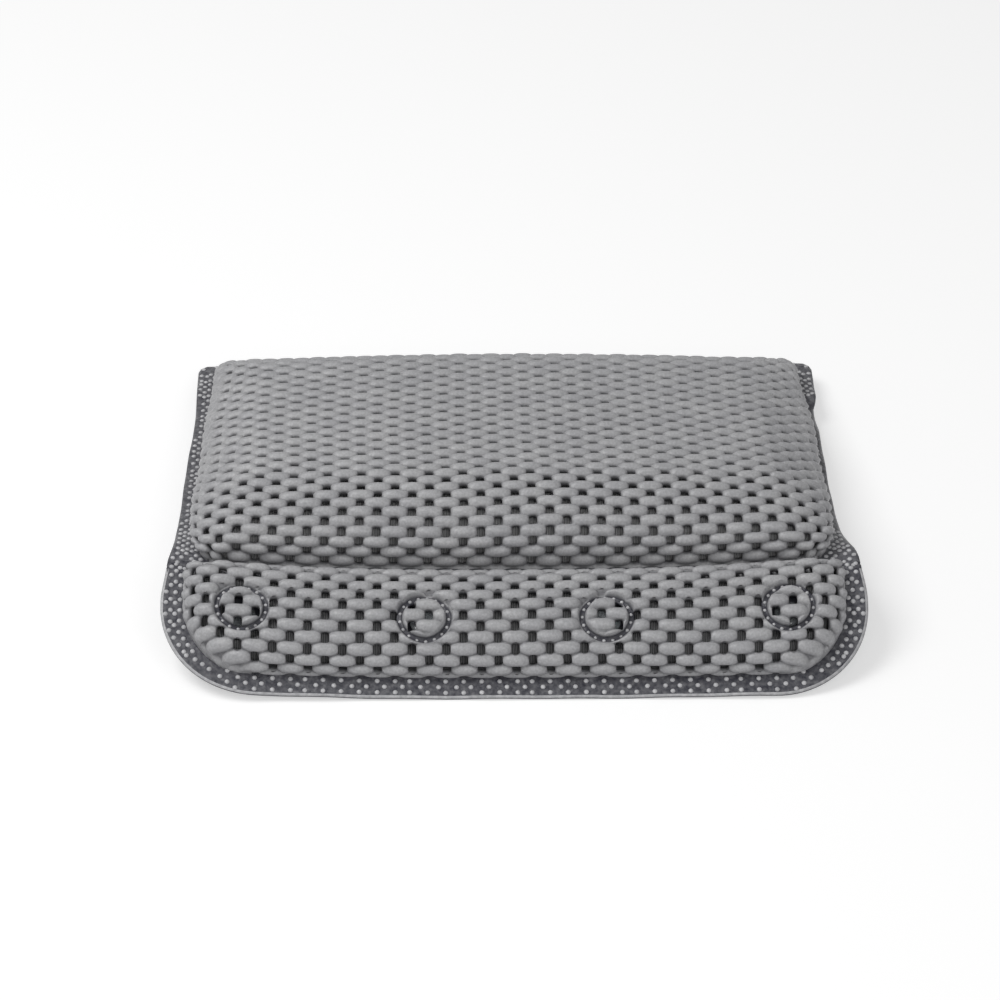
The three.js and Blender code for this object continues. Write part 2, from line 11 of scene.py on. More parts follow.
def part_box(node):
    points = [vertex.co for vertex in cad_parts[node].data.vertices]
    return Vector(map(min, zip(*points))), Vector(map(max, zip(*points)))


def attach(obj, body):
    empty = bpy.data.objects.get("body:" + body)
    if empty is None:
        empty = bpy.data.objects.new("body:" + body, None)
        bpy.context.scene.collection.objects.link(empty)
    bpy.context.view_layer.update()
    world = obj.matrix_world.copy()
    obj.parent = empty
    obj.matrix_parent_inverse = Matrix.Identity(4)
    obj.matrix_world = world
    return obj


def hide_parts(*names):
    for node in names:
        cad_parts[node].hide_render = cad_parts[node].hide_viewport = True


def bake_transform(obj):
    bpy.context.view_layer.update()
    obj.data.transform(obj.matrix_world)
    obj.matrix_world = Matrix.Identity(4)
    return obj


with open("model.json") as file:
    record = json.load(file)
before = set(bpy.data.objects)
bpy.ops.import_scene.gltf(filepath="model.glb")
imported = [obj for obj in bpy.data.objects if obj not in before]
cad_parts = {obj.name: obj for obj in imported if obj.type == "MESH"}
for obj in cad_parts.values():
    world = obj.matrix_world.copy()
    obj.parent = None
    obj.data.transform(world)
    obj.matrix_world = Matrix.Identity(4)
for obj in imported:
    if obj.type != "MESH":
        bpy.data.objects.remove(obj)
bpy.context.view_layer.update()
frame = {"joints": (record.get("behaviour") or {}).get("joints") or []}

# Working values below are in millimetres; meshes are written in metres
MM = 0.001

# Places taken from the frame
joints = {joint["name"]: joint for joint in frame["joints"]}
HINGE_Y, HINGE_Z = (value / MM for value in joints["flap_fold"]["pos_m"][1:])
cup_axis = joints["cup_1_spin"]["axis"]
TILT = math.atan2(-cup_axis[1], cup_axis[2])
RINGS = (1, 2, 3, 4)


def box_mm(node):
    low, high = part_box(node)
    return np.array(low) / MM, np.array(high) / MM


_, cover_high = box_mm("cushion_cover")
edge_low, edge_high = box_mm("cushion_edge_weld")
hinge_low, hinge_high = box_mm("hinge_weld")
_, flap_high = box_mm("flap_cover")
flap_edge_low, flap_edge_high = box_mm("flap_edge_weld")
FILM = hinge_high[2] - hinge_low[2]
GAP_MARGIN = 0.3
HINGE_GAP = hinge_high[1] - HINGE_Y + GAP_MARGIN
FLAP_HALF = flap_high[0]
FLANGE = flap_edge_high[0] - FLAP_HALF
FLAP_REACH = (HINGE_Y - flap_edge_low[1]) / math.cos(TILT)
FLAP_LENGTH = FLAP_REACH - FLANGE
FLANGE_BACK = edge_high[1] - HINGE_Y
CUSHION_DEPTH = FLANGE_BACK - FLANGE
CUSHION_CROWN = cover_high[2] - HINGE_Z
SEAM_FALL = (HINGE_Z - edge_low[2] - FILM / 2) * CUSHION_DEPTH / FLANGE_BACK

# Shape of the stuffed cushion
CUSHION_WIDTH = 307.0
CUSHION_HALF = CUSHION_WIDTH / 2 - FLANGE
FRONT_CORNER = 10.0
BACK_CORNER = 8.0
FLANGE_CUT = 5.0
FLARE_RUN = 50.0
SIDE_FALL = 2.5
BACK_SIDE_FALL = 6.0
SIDE_DRAW = 1.5
BACK_DRAW = 2.0
SLOPE_FRONT = math.tan(math.radians(9.6))
SLOPE_BACK = math.tan(math.radians(10.1))
FRONT_ROLL = 44.0
BACK_ROLL = 20.0
SIDE_ROLL = 26.0
FRONT_FULLNESS = 3.9
EDGE_FULLNESS = 2.2
SIDE_SWELL_FRONT = (15.5, 13.0)
SIDE_SWELL_BACK = 7.0
SIDE_BULGE = (5.0, 7.0)
BULGE_MIDDLE = 0.64
BULGE_RUN = 0.2
BACK_SWELL = 3.0
EAR_LIFT = 13.0
EAR_POWERS = (16, 6)
BELLY_FRONT = 30.0
BELLY_BACK = 42.0
BELLY_SIDE = 24.0
BELLY_FULLNESS = 1.25

# Shape of the padded flap
FLAP_CROWN = 16.0
FLAP_HEEL = 5.5
FLAP_HEEL_END = 12.0
FLAP_CREST_REACH = 30.0
FLAP_FRONT_ROLL = 24.0
FLAP_FRONT_SWELL = 1.8
FLAP_SIDE_SWELL = 1.8
FLAP_HEEL_ROLL = 5.0
FLAP_SIDE_ROLL = 18.0
FLAP_CORNER = 43.0
FLAP_ARC = FLAP_CORNER - FLANGE
FLAP_HEEL_CORNER = 5.0

# The padded nets meet over the hinge line, where the solids keep a gap
SOFT_GAP = 0.6
CUSHION_SEAM = 2.6
FRONT_SWELL = 3.0

# The soft ends of the hinge line and of the flap curl up
END_LIFT = 6.0
END_LIFT_RUN = 70.0
END_LIFT_POWER = 2.4
RIGHT_FRONT_DROP = 0.6
RIDGE_RUN = 10.0
RIDGE_FROM = (125.0, 20.0)

# Bead mesh
PITCH = 15.55
ROW = 5.7
ACROSS = 16
PER_ROW = 8
BEAD_HALF_LENGTH = 6.7
BEAD_HALF_WIDTH = 3.35
BEAD_HEIGHT = 2.75
BEAD_PROFILE = 0.8
BEAD_SPREAD = (2.9, 2.1)
BEAD_TURN = 0.05
BEAD_SIZES = (0.96, 0.08)
BEAD_RISES = (0.88, 0.24)
CHANCE = (12.99, 78.23, 43.7, 7.3)
WANDER = (0.5, 0.3)
WANDER_RIM = 14.0
HOLE_HALF = (1.9, 2.65)
HOLE_CELLS = (2, 3)
HOLE_ROUNDNESS = 3.6
HOLE_REACH = 1.45
OPEN_BELOW = 0.6
DIMPLE = 2.2
DIMPLE_DEPTH = 0.45
MELT_LOSS = 0.8
MELT_HEIGHT = 0.55
# Level fed to the painted crease shade where beads are melted flat, high enough for no shade
MELT_SHADE_LEVEL = 0.8
LINE_MARGIN = 0.3
NET_THICKNESS = 1.5
NET_INSET = 1.75
LINING_INSET = 5.2
LINING_MARGIN = 1.6

# Ring welds
RING_OUTER = 12.1
RING_INNER = 9.9
RING_MIDDLE = (RING_OUTER + RING_INNER) / 2
GROOVE_DEPTH = 3.6
DISC_DOME = 1.0
RING_DRAW = 0.9
RING_DRAW_RUN = 5.0
RING_DOTS = 17

# Weld dots
DOT_STEP = (3.9, 2.85)
SIDE_DOT_STEP = (2.1, 3.0)
DOT_MARGIN = 1.0
DOT_RADIUS = 1.15
DOT_HEIGHT = 0.65


def rise(distance, run, fullness):
    """Rounded rise from 0 at an edge to 1 at the end of a run."""
    left = 1 - np.clip(distance / run, 0, 1)
    return (1 - left**fullness) ** (1 / fullness)


def ease(value, start=0.0, run=1.0):
    """Smooth rise from 0 at start to 1 at start + run."""
    share = np.clip((value - start) / run, 0, 1)
    return share * share * (3 - 2 * share)


def wall_swell(share):
    """Swell of a wall over its seam: 0 at both ends of its rise, 1 at two thirds of it."""
    return 27 / 4 * share**2 * (1 - share)


def grid_corners(rows, columns):
    index = np.arange(rows * columns).reshape(rows, columns)
    corners = np.stack([index[:-1, :-1], index[:-1, 1:], index[1:, 1:], index[1:, :-1]], -1)
    return index, corners


def between(table, row, column):
    """Values of a table at places between its rows and columns."""
    low = np.minimum(row.astype(int), table.shape[0] - 2)
    left = np.minimum(column.astype(int), table.shape[1] - 2)
    along, across = row - low, column - left
    if table.ndim == 3:
        along, across = along[..., None], across[..., None]
    near = table[low, left] * (1 - across) + table[low, left + 1] * across
    far = table[low + 1, left] * (1 - across) + table[low + 1, left + 1] * across
    return near * (1 - along) + far * along


# Cushion surfaces over a flat plan, with y counted from the hinge line


def rounded(x, y):
    """Place in the plan with round corners of a point of the square plan."""
    near_front = y < CUSHION_DEPTH / 2
    radius = np.where(near_front, FRONT_CORNER, BACK_CORNER)
    edge = np.where(near_front, CUSHION_SEAM, CUSHION_DEPTH)
    inward = np.where(near_front, 1.0, -1.0)
    across = np.clip(1 - (CUSHION_HALF - np.abs(x)) / radius, 0, 1)
    along = np.clip(1 - inward * (y - edge) / radius, 0, 1)
    pull_x = radius * across * (1 - np.sqrt(1 - along**2 / 2))
    pull_y = radius * along * (1 - np.sqrt(1 - across**2 / 2))
    return x - np.sign(x) * pull_x, y + inward * pull_y


def drawn_in(x, y):
    share = np.clip((y - HINGE_GAP) / (CUSHION_DEPTH - HINGE_GAP), 0, 1)
    middle = np.cos(np.clip(x / CUSHION_HALF, -1, 1) * math.pi / 2)
    return (
        x * (1 - SIDE_DRAW / CUSHION_HALF * np.sin(share * math.pi)),
        y - BACK_DRAW * share**2 * middle,
    )


def end_lift(x):
    return END_LIFT * np.abs(x / flap_edge_high[0]) ** END_LIFT_POWER


def ridge(x, y):
    """Fall that rounds the ridge between the two slopes at the ends of the hinge line."""
    slopes = SEAM_FALL / CUSHION_DEPTH + math.tan(TILT)
    ends = ease(np.abs(x), *RIDGE_FROM)
    return ends * slopes / (4 * RIDGE_RUN) * np.maximum(RIDGE_RUN - np.abs(y), 0) ** 2


def seam_height(x, y):
    lift = end_lift(x) * ease(1 - y / END_LIFT_RUN)
    return HINGE_Z - SEAM_FALL * y / CUSHION_DEPTH + lift - ridge(x, y)


def near_edge(distance, roll):
    return (1 - np.clip(distance / roll, 0, 1)) ** 2


def cushion_form(x, y, inset=0.0):
    run = np.maximum(y - FRONT_ROLL, 0)
    steepening = (SLOPE_BACK - SLOPE_FRONT) / (2 * (CUSHION_DEPTH - FRONT_ROLL))
    fall = SLOPE_FRONT * run + steepening * run**2
    depth = y / CUSHION_DEPTH
    sag = (SIDE_FALL + (BACK_SIDE_FALL - SIDE_FALL) * depth) * (x / CUSHION_HALF) ** 2
    front = y - CUSHION_SEAM - inset
    back = CUSHION_DEPTH - inset - y
    side = CUSHION_HALF - inset - np.abs(x)
    share = (
        rise(front, FRONT_ROLL - inset, FRONT_FULLNESS)
        * rise(back, BACK_ROLL - inset, EDGE_FULLNESS)
        * rise(side, SIDE_ROLL - inset, EDGE_FULLNESS)
    )
    place_x, place_y = drawn_in(*rounded(x, y))
    seam = seam_height(place_x, place_y)
    across, along = EAR_POWERS
    ear = EAR_LIFT * np.abs(x / CUSHION_HALF) ** across * np.clip(depth, 0, 1) ** along
    full = HINGE_Z + CUSHION_CROWN - fall - sag + ear - inset - seam
    swell = wall_swell(share) * full / CUSHION_CROWN
    at_front = np.where(x < 0, *SIDE_SWELL_FRONT)
    bulge = np.where(x < 0, *SIDE_BULGE) * np.exp(-(((depth - BULGE_MIDDLE) / BULGE_RUN) ** 2))
    side_swell = at_front + (SIDE_SWELL_BACK - at_front) * depth + bulge
    sideways = side_swell * near_edge(side, SIDE_ROLL - inset)
    lengthways = BACK_SWELL * near_edge(back, BACK_ROLL - inset)
    lengthways = lengthways - FRONT_SWELL * near_edge(front, FRONT_ROLL - inset)
    return np.stack([
        place_x + np.sign(x) * sideways * swell,
        place_y + lengthways * swell + HINGE_Y,
        seam + full * share], -1)


SWELL_START = 2.0
SWELL_FRAMES = 20
SWELL_PRESSURE = 4
SWELL_SMOOTHING = 3
SWELL_SHARE = 0.35
SWELL_GRID = (49, 41)
swell_xs = np.linspace(-CUSHION_HALF, CUSHION_HALF, SWELL_GRID[0])
swell_ys = np.linspace(CUSHION_SEAM, CUSHION_DEPTH, SWELL_GRID[1])


def simulated_swell():
    """Offsets of the stuffed top on a coarse grid, from a smaller sheet of cloth that swells."""
    x, y = np.meshgrid(swell_xs, swell_ys)
    form = cushion_form(x, y)
    along_y, along_x = np.gradient(form, axis=(0, 1))
    normal = np.cross(along_x, along_y)
    normal /= np.linalg.norm(normal, axis=-1, keepdims=True)
    free = np.zeros(x.shape, bool)
    free[1:-1, 1:-1] = True
    start = form - SWELL_START * normal * free[..., None]
    rows, columns = x.shape
    index, corners = grid_corners(rows, columns)
    mesh = bpy.data.meshes.new("swell")
    mesh.from_pydata((start * MM).reshape(-1, 3).tolist(), [], corners.reshape(-1, 4).tolist())
    sheet = bpy.data.objects.new("swell", mesh)
    scene = bpy.context.scene
    scene.collection.objects.link(sheet)
    sheet.vertex_groups.new(name="seam").add(index[~free].tolist(), 1.0, "REPLACE")
    cloth = sheet.modifiers.new("cloth", "CLOTH")
    cloth.settings.vertex_group_mass = "seam"
    cloth.settings.use_pressure = True
    cloth.settings.uniform_pressure_force = SWELL_PRESSURE
    cloth.settings.effector_weights.gravity = 0
    cloth.point_cache.frame_end = SWELL_FRAMES
    for number in range(1, SWELL_FRAMES + 1):
        scene.frame_set(number)
    swollen = sheet.evaluated_get(bpy.context.evaluated_depsgraph_get()).data
    places = np.empty(rows * columns * 3, np.float32)
    swollen.vertices.foreach_get("co", places)
    moved = places.reshape(rows, columns, 3) / MM - start
    size = np.linalg.norm(moved, axis=-1, keepdims=True)
    moved *= np.minimum(1, SWELL_START / np.maximum(size, 1e-9))
    bpy.data.objects.remove(sheet)
    bpy.data.meshes.remove(mesh)
    scene.frame_set(1)
    offset = start + moved - form
    for _ in range(SWELL_SMOOTHING):
        near = offset[:-2, 1:-1] + offset[2:, 1:-1] + offset[1:-1, :-2] + offset[1:-1, 2:]
        offset[1:-1, 1:-1] = offset[1:-1, 1:-1] / 2 + near / 8
    return SWELL_SHARE * offset


swell_offsets = simulated_swell()


def stuffed(x, y):
    """Offset of the simulated swell at places of the plan."""
    column = np.interp(x, swell_xs, np.arange(len(swell_xs)))
    row = np.interp(y, swell_ys, np.arange(len(swell_ys)))
    return between(swell_offsets, row, column)


def cushion_top(x, y, inset=0.0):
    return cushion_form(x, y, inset) + stuffed(x, y)


def cushion_bottom(x, y, inset=0.0):
    share = (
        rise(y - CUSHION_SEAM - inset, BELLY_FRONT, BELLY_FULLNESS)
        * rise(CUSHION_DEPTH - inset - y, BELLY_BACK, BELLY_FULLNESS)
        * rise(CUSHION_HALF - inset - np.abs(x), BELLY_SIDE, BELLY_FULLNESS)
    )
    place_x, place_y = drawn_in(*rounded(x, y))
    seam = seam_height(place_x, place_y)
    floor = inset + BEAD_HEIGHT - NET_INSET
    return np.stack([place_x, place_y + HINGE_Y, seam - (seam - floor) * share], -1)


# Flap surfaces, in the flap's own plane; reach is counted from the hinge line


def flap_half_at(reach, inset=0.0):
    corner = FLAP_ARC - inset
    into_front = np.maximum(reach - (FLAP_LENGTH - inset - corner), 0)
    front_cut = corner - np.sqrt(np.maximum(corner**2 - into_front**2, 0))
    into_heel = np.maximum(SOFT_GAP + inset + FLAP_HEEL_CORNER - reach, 0)
    heel_cut = FLAP_HEEL_CORNER - np.sqrt(np.maximum(FLAP_HEEL_CORNER**2 - into_heel**2, 0))
    return FLAP_HALF - inset - front_cut - heel_cut


def flap_front_rise(reach, inset=0.0):
    return rise(FLAP_LENGTH - inset - reach, FLAP_FRONT_ROLL - inset, EDGE_FULLNESS)


def flap_height(x, reach, inset=0.0):
    heel_height = FLAP_HEEL + (FLAP_HEEL_END - FLAP_HEEL) * np.abs(x / FLAP_HALF) ** 3
    from_crest = 1 - np.minimum(reach / FLAP_CREST_REACH, 1)
    crest = FLAP_CROWN - (FLAP_CROWN - heel_height) * from_crest**2
    front = flap_front_rise(reach, inset)
    heel = rise(reach - SOFT_GAP - inset, FLAP_HEEL_ROLL, EDGE_FULLNESS)
    side = rise(flap_half_at(reach, inset) - np.abs(x), FLAP_SIDE_ROLL - inset, EDGE_FULLNESS)
    return np.maximum(crest - inset, 0) * front * heel * side


def flap_point(x, reach, height):
    """Point of the flap's plane, with the swell of its front and side walls over the seam."""
    share = flap_front_rise(reach)
    near = near_edge(FLAP_LENGTH - reach, FLAP_FRONT_ROLL)
    swell = wall_swell(share) * near
    side = flap_half_at(reach) - np.abs(x)
    side_share = rise(side, FLAP_SIDE_ROLL, EDGE_FULLNESS)
    side_swell = wall_swell(side_share) * near_edge(side, FLAP_SIDE_ROLL)
    return np.stack([
        x + np.sign(x) * FLAP_SIDE_SWELL * side_swell,
        -reach - FLAP_FRONT_SWELL * swell,
        height], -1)


def flap_turned(directions):
    x, y, z = np.moveaxis(np.asarray(directions, float), -1, 0)
    cos, sin = math.cos(TILT), math.sin(TILT)
    return np.stack([x, y * cos - z * sin, y * sin + z * cos], -1)


def flap_frame(points):
    """Points of the stiff pieces on the flap, from its own plane."""
    return flap_turned(points) + np.array([0, HINGE_Y, HINGE_Z])


def flap_to_world(points):
    """Points of the soft flap, whose ends curl up, from its own plane."""
    world = flap_frame(points)
    x, y = world[..., 0], world[..., 1] - HINGE_Y
    drop = np.where(x > 0, RIGHT_FRONT_DROP, 0) * ease(-y / FLAP_LENGTH)
    world[..., 2] += end_lift(x) * (1 - drop) - ridge(x, y)
    return world


def soft_flap(x, reach, height):
    return flap_to_world(np.stack(np.broadcast_arrays(x, -reach, height), -1))


def cup_place(number):
    """Middle of a suction cup's lip in the flap's plane: x, reach and height."""
    x, y, z = (value / MM for value in joints[f"cup_{number}_spin"]["pos_m"])
    back, up = y - HINGE_Y, z - HINGE_Z
    cos, sin = math.cos(TILT), math.sin(TILT)
    return x, -(back * cos + up * sin), up * cos - back * sin


CUP_PLACES = {number: cup_place(number) for number in RINGS}


def ring_distance(x, reach):
    return np.min([np.hypot(x - cx, reach - cr) for cx, cr, _ in CUP_PLACES.values()], axis=0)


# Meshes


def mesh_object(name, points, faces, materials, kinds=None, **attributes):
    """Object from points in millimetres and faces of four corners, a repeated corner making a triangle."""
    used, faces = np.unique(np.asarray(faces, np.int64), return_inverse=True)
    faces = faces.reshape(-1, 4)
    points = np.asarray(points)[used]
    keep = faces != np.roll(faces, 1, axis=1)
    sizes = keep.sum(1)
    good = sizes >= 3
    loops = faces[good][keep[good]]
    totals = sizes[good]
    starts = np.concatenate([[0], np.cumsum(totals)[:-1]])
    mesh = bpy.data.meshes.new(name)
    mesh.vertices.add(len(points))
    mesh.vertices.foreach_set("co", (points * MM).astype(np.float32).ravel())
    mesh.loops.add(len(loops))
    mesh.loops.foreach_set("vertex_index", loops.astype(np.int32))
    mesh.polygons.add(len(totals))
    mesh.polygons.foreach_set("loop_start", starts.astype(np.int32))
    mesh.polygons.foreach_set("loop_total", totals.astype(np.int32))
    mesh.polygons.foreach_set("use_smooth", np.ones(len(totals), bool))
    for material in materials:
        mesh.materials.append(material)
    if kinds is not None:
        mesh.polygons.foreach_set("material_index", np.asarray(kinds)[good].astype(np.int32))
    for key, values in attributes.items():
        attribute = mesh.attributes.new(key, "FLOAT", "POINT")
        attribute.data.foreach_set("value", np.asarray(values)[used].astype(np.float32))
    mesh.update(calc_edges=True)
    mesh.validate()
    thing = bpy.data.objects.new(name, mesh)
    bpy.context.scene.collection.objects.link(thing)
    return thing


class Pile:
    """Points and faces gathered from several closed bodies, with a material number for each face."""

    def __init__(self):
        self.points, self.faces, self.kinds = [], [], []
        self.count = 0

    def add(self, points, faces, kinds=0):
        points = np.asarray(points).reshape(-1, 3)
        self.points.append(points)
        self.faces.append(np.asarray(faces) + self.count)
        self.kinds.append(np.broadcast_to(kinds, len(faces)))
        self.count += len(points)

    def made(self, name, materials):
        parts = (self.points, self.faces, self.kinds)
        points, faces, kinds = (np.concatenate(part) for part in parts)
        return mesh_object(name, points, faces, materials, kinds)


def sheet_body(top, bottom):
    """Points and faces of the closed body between two nets of equal size."""
    rows, columns = top.shape[:2]
    index, corners = grid_corners(rows, columns)
    corners = corners.reshape(-1, 4)
    shift = rows * columns
    rim = np.concatenate([index[0, :-1], index[:-1, -1], index[-1, :0:-1], index[:0:-1, 0]])
    after = np.roll(rim, -1)
    wall = np.stack([after, rim, rim + shift, after + shift], -1)
    points = np.concatenate([top.reshape(-1, 3), bottom.reshape(-1, 3)])
    faces = np.concatenate([corners, corners[:, ::-1] + shift, wall])
    facing = np.cross(top[0, 1] - top[0, 0], top[1, 0] - top[0, 0])
    if np.dot(facing, top[0, 0] - bottom[0, 0]) < 0:
        faces = faces[:, ::-1]
    return points, faces


def lathe_body(profile, steps):
    """Body of revolution about Z from radius and height pairs; the profile starts and ends on the axis."""
    profile = np.asarray(profile, float)
    angle = np.linspace(0, 2 * math.pi, steps, endpoint=False)[:, None]
    radius, height = profile[:, 0], profile[:, 1]
    points = np.stack([radius * np.cos(angle), radius * np.sin(angle), height + 0 * angle], -1)
    count = len(profile)
    index = np.arange(steps * count).reshape(steps, count)
    index[:, radius == 0] = index[0, radius == 0]
    after = np.roll(index, -1, axis=0)
    faces = np.stack([index[:, :-1], after[:, :-1], after[:, 1:], index[:, 1:]], -1)
    return points.reshape(-1, 3), faces.reshape(-1, 4)


DOME_STEPS = 8
DOME_ASIDE = (0.3, 0.9, 0.2)
DOME = [(0, -0.9), (1, -0.9), (1, 0), (0.86, 0.5), (0.5, 0.87), (0, 1)]


def add_domes(pile, centres, normals, radius, height, kind):
    """Small closed domes standing on places of a surface."""
    profile = [(across * radius, up * height) for across, up in DOME]
    points, faces = lathe_body(profile, DOME_STEPS)
    for centre, normal in zip(centres, normals):
        normal = normal / np.linalg.norm(normal)
        side = np.cross(normal, DOME_ASIDE)
        side /= np.linalg.norm(side)
        other = np.cross(normal, side)
        pile.add(centre + points @ np.stack([side, other, normal]), faces, kind)


# Bead mesh


def lattice_lines(first, last, step, phase):
    """Grid lines on the lattice from first to last, with both ends."""
    low = math.ceil((first - phase) / step + LINE_MARGIN)
    high = math.floor((last - phase) / step - LINE_MARGIN)
    return np.concatenate([[first], phase + step * np.arange(low, high + 1), [last]])


def hole_offset(u, v):
    """Offset from the hole of the row that a place belongs to."""
    row = np.round(v / ROW)
    stagger = np.where(row % 2 == 0, PITCH / 2, 0)
    return (u - stagger + PITCH / 2) % PITCH - PITCH / 2, v - row * ROW


def bead_height(u, v):
    """Height of the fused beads over the web, from 0 to 1, each bead a little different."""
    total = 0
    for step in (-1, 0, 1):
        row = np.round(v / ROW) + step
        stagger = np.where(row % 2 == 0, 0, PITCH / 2)
        bead = np.round((u - stagger) / PITCH)
        du = u - stagger - bead * PITCH
        dv = v - row * ROW
        chance = np.sin(bead * CHANCE[0] + row * CHANCE[1]) * CHANCE[2]
        chance = chance - np.floor(chance)
        dv = dv + BEAD_TURN * (chance - 0.5) * du
        size = BEAD_SIZES[0] + BEAD_SIZES[1] * (CHANCE[3] * chance % 1)
        lengthways = np.abs(du / (size * BEAD_HALF_LENGTH)) ** BEAD_SPREAD[0]
        spread = lengthways + np.abs(dv / BEAD_HALF_WIDTH) ** BEAD_SPREAD[1]
        total = total + np.maximum(1 - spread, 0) ** 3 * (BEAD_RISES[0] + BEAD_RISES[1] * chance)
    return total ** (BEAD_PROFILE / 3)


def wandered(u, v, extent):
    """Places of the net with the small drift of a fabric that isn't quite straight."""
    u0, u1, v0, v1 = extent
    free = ease(np.minimum(np.minimum(u - u0, u1 - u), np.minimum(v - v0, v1 - v)) / WANDER_RIM)
    aside = WANDER[0] * np.sin(v / 31 + 0.4) + WANDER[1] * np.sin(u / 37 + v / 19)
    ahead = WANDER[0] * np.sin(u / 29 + 1.1) + WANDER[1] * np.sin(u / 13 + v / 47)
    return u + free * aside, v + free * ahead


def bead_net(name, extent, phase, place, melt, materials, groove=None, inside=None, fine=1, upright=None):
    """Closed sheet of bead mesh with real holes.

    extent is (u0, u1, v0, v1) in fabric lengths, place turns u and v into points, melt says how far
    the beads are melted flat, groove how deep the net is pressed in, and inside where there is any net.
    fine is how many times finer than usual the mesh is. upright is the direction out of the net and a
    function that says where the net is drawn back to its seam, so that it stands straight there.
    """
    u0, u1, v0, v1 = extent
    cell_u, cell_v = PITCH / (ACROSS * fine), ROW / (PER_ROW * fine)
    hole_u, hole_v = HOLE_CELLS[0] * fine * cell_u, HOLE_CELLS[1] * fine * cell_v
    lines_u = lattice_lines(u0, u1, cell_u, phase[0])
    lines_v = lattice_lines(v0, v1, cell_v, phase[1])
    u, v = np.meshgrid(lines_u, lines_v)
    du, dv = hole_offset(u - phase[0], v - phase[1])
    a, b = du / hole_u, dv / hole_v
    square = np.maximum(np.abs(a), np.abs(b))
    circle = (np.abs(a) ** HOLE_ROUNDNESS + np.abs(b) ** HOLE_ROUNDNESS) ** (1 / HOLE_ROUNDNESS)
    pull = square / np.maximum(circle, 1e-6)
    weight = np.clip((HOLE_REACH - square) / (HOLE_REACH - 1), 0, 1)
    weight[0], weight[-1], weight[:, 0], weight[:, -1] = 0, 0, 0, 0
    u = u + weight * (a * HOLE_HALF[0] * pull - du)
    v = v + weight * (b * HOLE_HALF[1] * pull - dv)
    cu, cv = np.meshgrid((lines_u[:-1] + lines_u[1:]) / 2, (lines_v[:-1] + lines_v[1:]) / 2)
    hu, hv = hole_offset(cu - phase[0], cv - phase[1])
    hole = (np.abs(hu) < hole_u) & (np.abs(hv) < hole_v)
    solid = ~(hole & (melt(cu - hu, cv - hv) < OPEN_BELOW))
    if inside is not None:
        solid &= inside(cu, cv)
    bead = bead_height(u - phase[0], v - phase[1])
    u, v = wandered(u, v, extent)
    flat = melt(u, v)
    base = place(u, v)
    along_v, along_u = np.gradient(base, axis=(0, 1))
    normal = np.cross(along_u, along_v)
    normal /= np.maximum(np.linalg.norm(normal, axis=-1, keepdims=True), 1e-9)
    if upright:
        direction, drawn_back = upright
        normal = np.where(drawn_back(u, v)[..., None], direction, normal)
    dimple = np.exp(-((du / DIMPLE) ** 2 + (dv / DIMPLE) ** 2))
    sink = groove(u, v) if groove else np.zeros_like(u)
    melted = MELT_HEIGHT * flat - DIMPLE_DEPTH * flat * (1 - flat) * dimple
    lift = BEAD_HEIGHT * (bead * (1 - MELT_LOSS * flat) + melted)
    top = base + normal * (lift - NET_INSET - sink)[..., None]
    bottom = base - normal * (NET_INSET + NET_THICKNESS + sink)[..., None]
    rows, columns = u.shape
    _, corners = grid_corners(rows, columns)
    shift = rows * columns
    faces = [corners[solid], corners[solid][:, ::-1] + shift]
    around = np.zeros((rows + 1, columns + 1), bool)
    around[1:-1, 1:-1] = solid
    for neighbour, first, second in (
        (around[:-2, 1:-1], 0, 1),
        (around[1:-1, 2:], 1, 2),
        (around[2:, 1:-1], 2, 3),
        (around[1:-1, :-2], 3, 0),
    ):
        edge = corners[solid & ~neighbour]
        start, end = edge[:, first], edge[:, second]
        faces.append(np.stack([end, start, start + shift, end + shift], -1))
    points = np.concatenate([top.reshape(-1, 3), bottom.reshape(-1, 3)])
    # Painted crease shade for the foam: bead height on top, zero on the underside and hole walls, a fixed
    # level where melted flat.
    height = np.concatenate([(bead * (1 - flat) + flat * MELT_SHADE_LEVEL).ravel(), np.zeros(shift)])
    pressed = np.tile((sink / GROOVE_DEPTH).ravel(), 2)
    return mesh_object(name, points, np.concatenate(faces), materials, bead=height, pressed=pressed)


def spaced(first, last, count):
    """Values from first to last, much closer together at both ends."""
    share = np.linspace(0, 1, count)
    return first + (last - first) * share**3 / (share**3 + (1 - share) ** 3)


def arc_lengths(points):
    steps = np.linalg.norm(np.diff(points, axis=0), axis=-1)
    return np.concatenate([np.zeros_like(steps[:1]), np.cumsum(steps, axis=0)])


FINE_STEPS = 1201
SHARE_STEPS = 601
COLUMN_STEPS = 81


class PanelMap:
    """Fabric lengths on a panel of the cushion: u across from its middle, v back from its front seam."""

    def __init__(self, surface, middle):
        self.surface = surface
        self.xs = spaced(-CUSHION_HALF, CUSHION_HALF, FINE_STEPS)
        across = arc_lengths(surface(self.xs, np.full_like(self.xs, middle)))
        self.across = across - across[-1] / 2
        self.half_width = self.across[-1]
        ys = spaced(CUSHION_SEAM, CUSHION_DEPTH, FINE_STEPS)
        self.columns = spaced(-CUSHION_HALF, CUSHION_HALF, COLUMN_STEPS)
        along = arc_lengths(surface(*np.meshgrid(self.columns, ys)))
        self.length = along[-1, len(self.columns) // 2]
        shares = np.linspace(0, 1, SHARE_STEPS)
        columns = [np.interp(shares, column / column[-1], ys) for column in along.T]
        self.table = np.stack(columns, 1)

    def plan(self, u, v):
        x = np.interp(u, self.across, self.xs)
        column = np.interp(x, self.columns, np.arange(len(self.columns)))
        row = np.clip(v / self.length, 0, 1) * (SHARE_STEPS - 1)
        return x, between(self.table, row, column)

    def place(self, u, v):
        return self.surface(*self.plan(u, v))

    def extent(self):
        return -self.half_width, self.half_width, 0.0, self.length

    def melt(self, u, v, side_run):
        """How far the beads are melted flat, at the seams and over a run from the sides."""
        side = 1 - ease((self.half_width - np.abs(u)) / side_run)
        ends = 1 - ease(np.minimum(v, self.length - v) / RIM_MELT)
        return np.maximum(side, ends)


# Materials


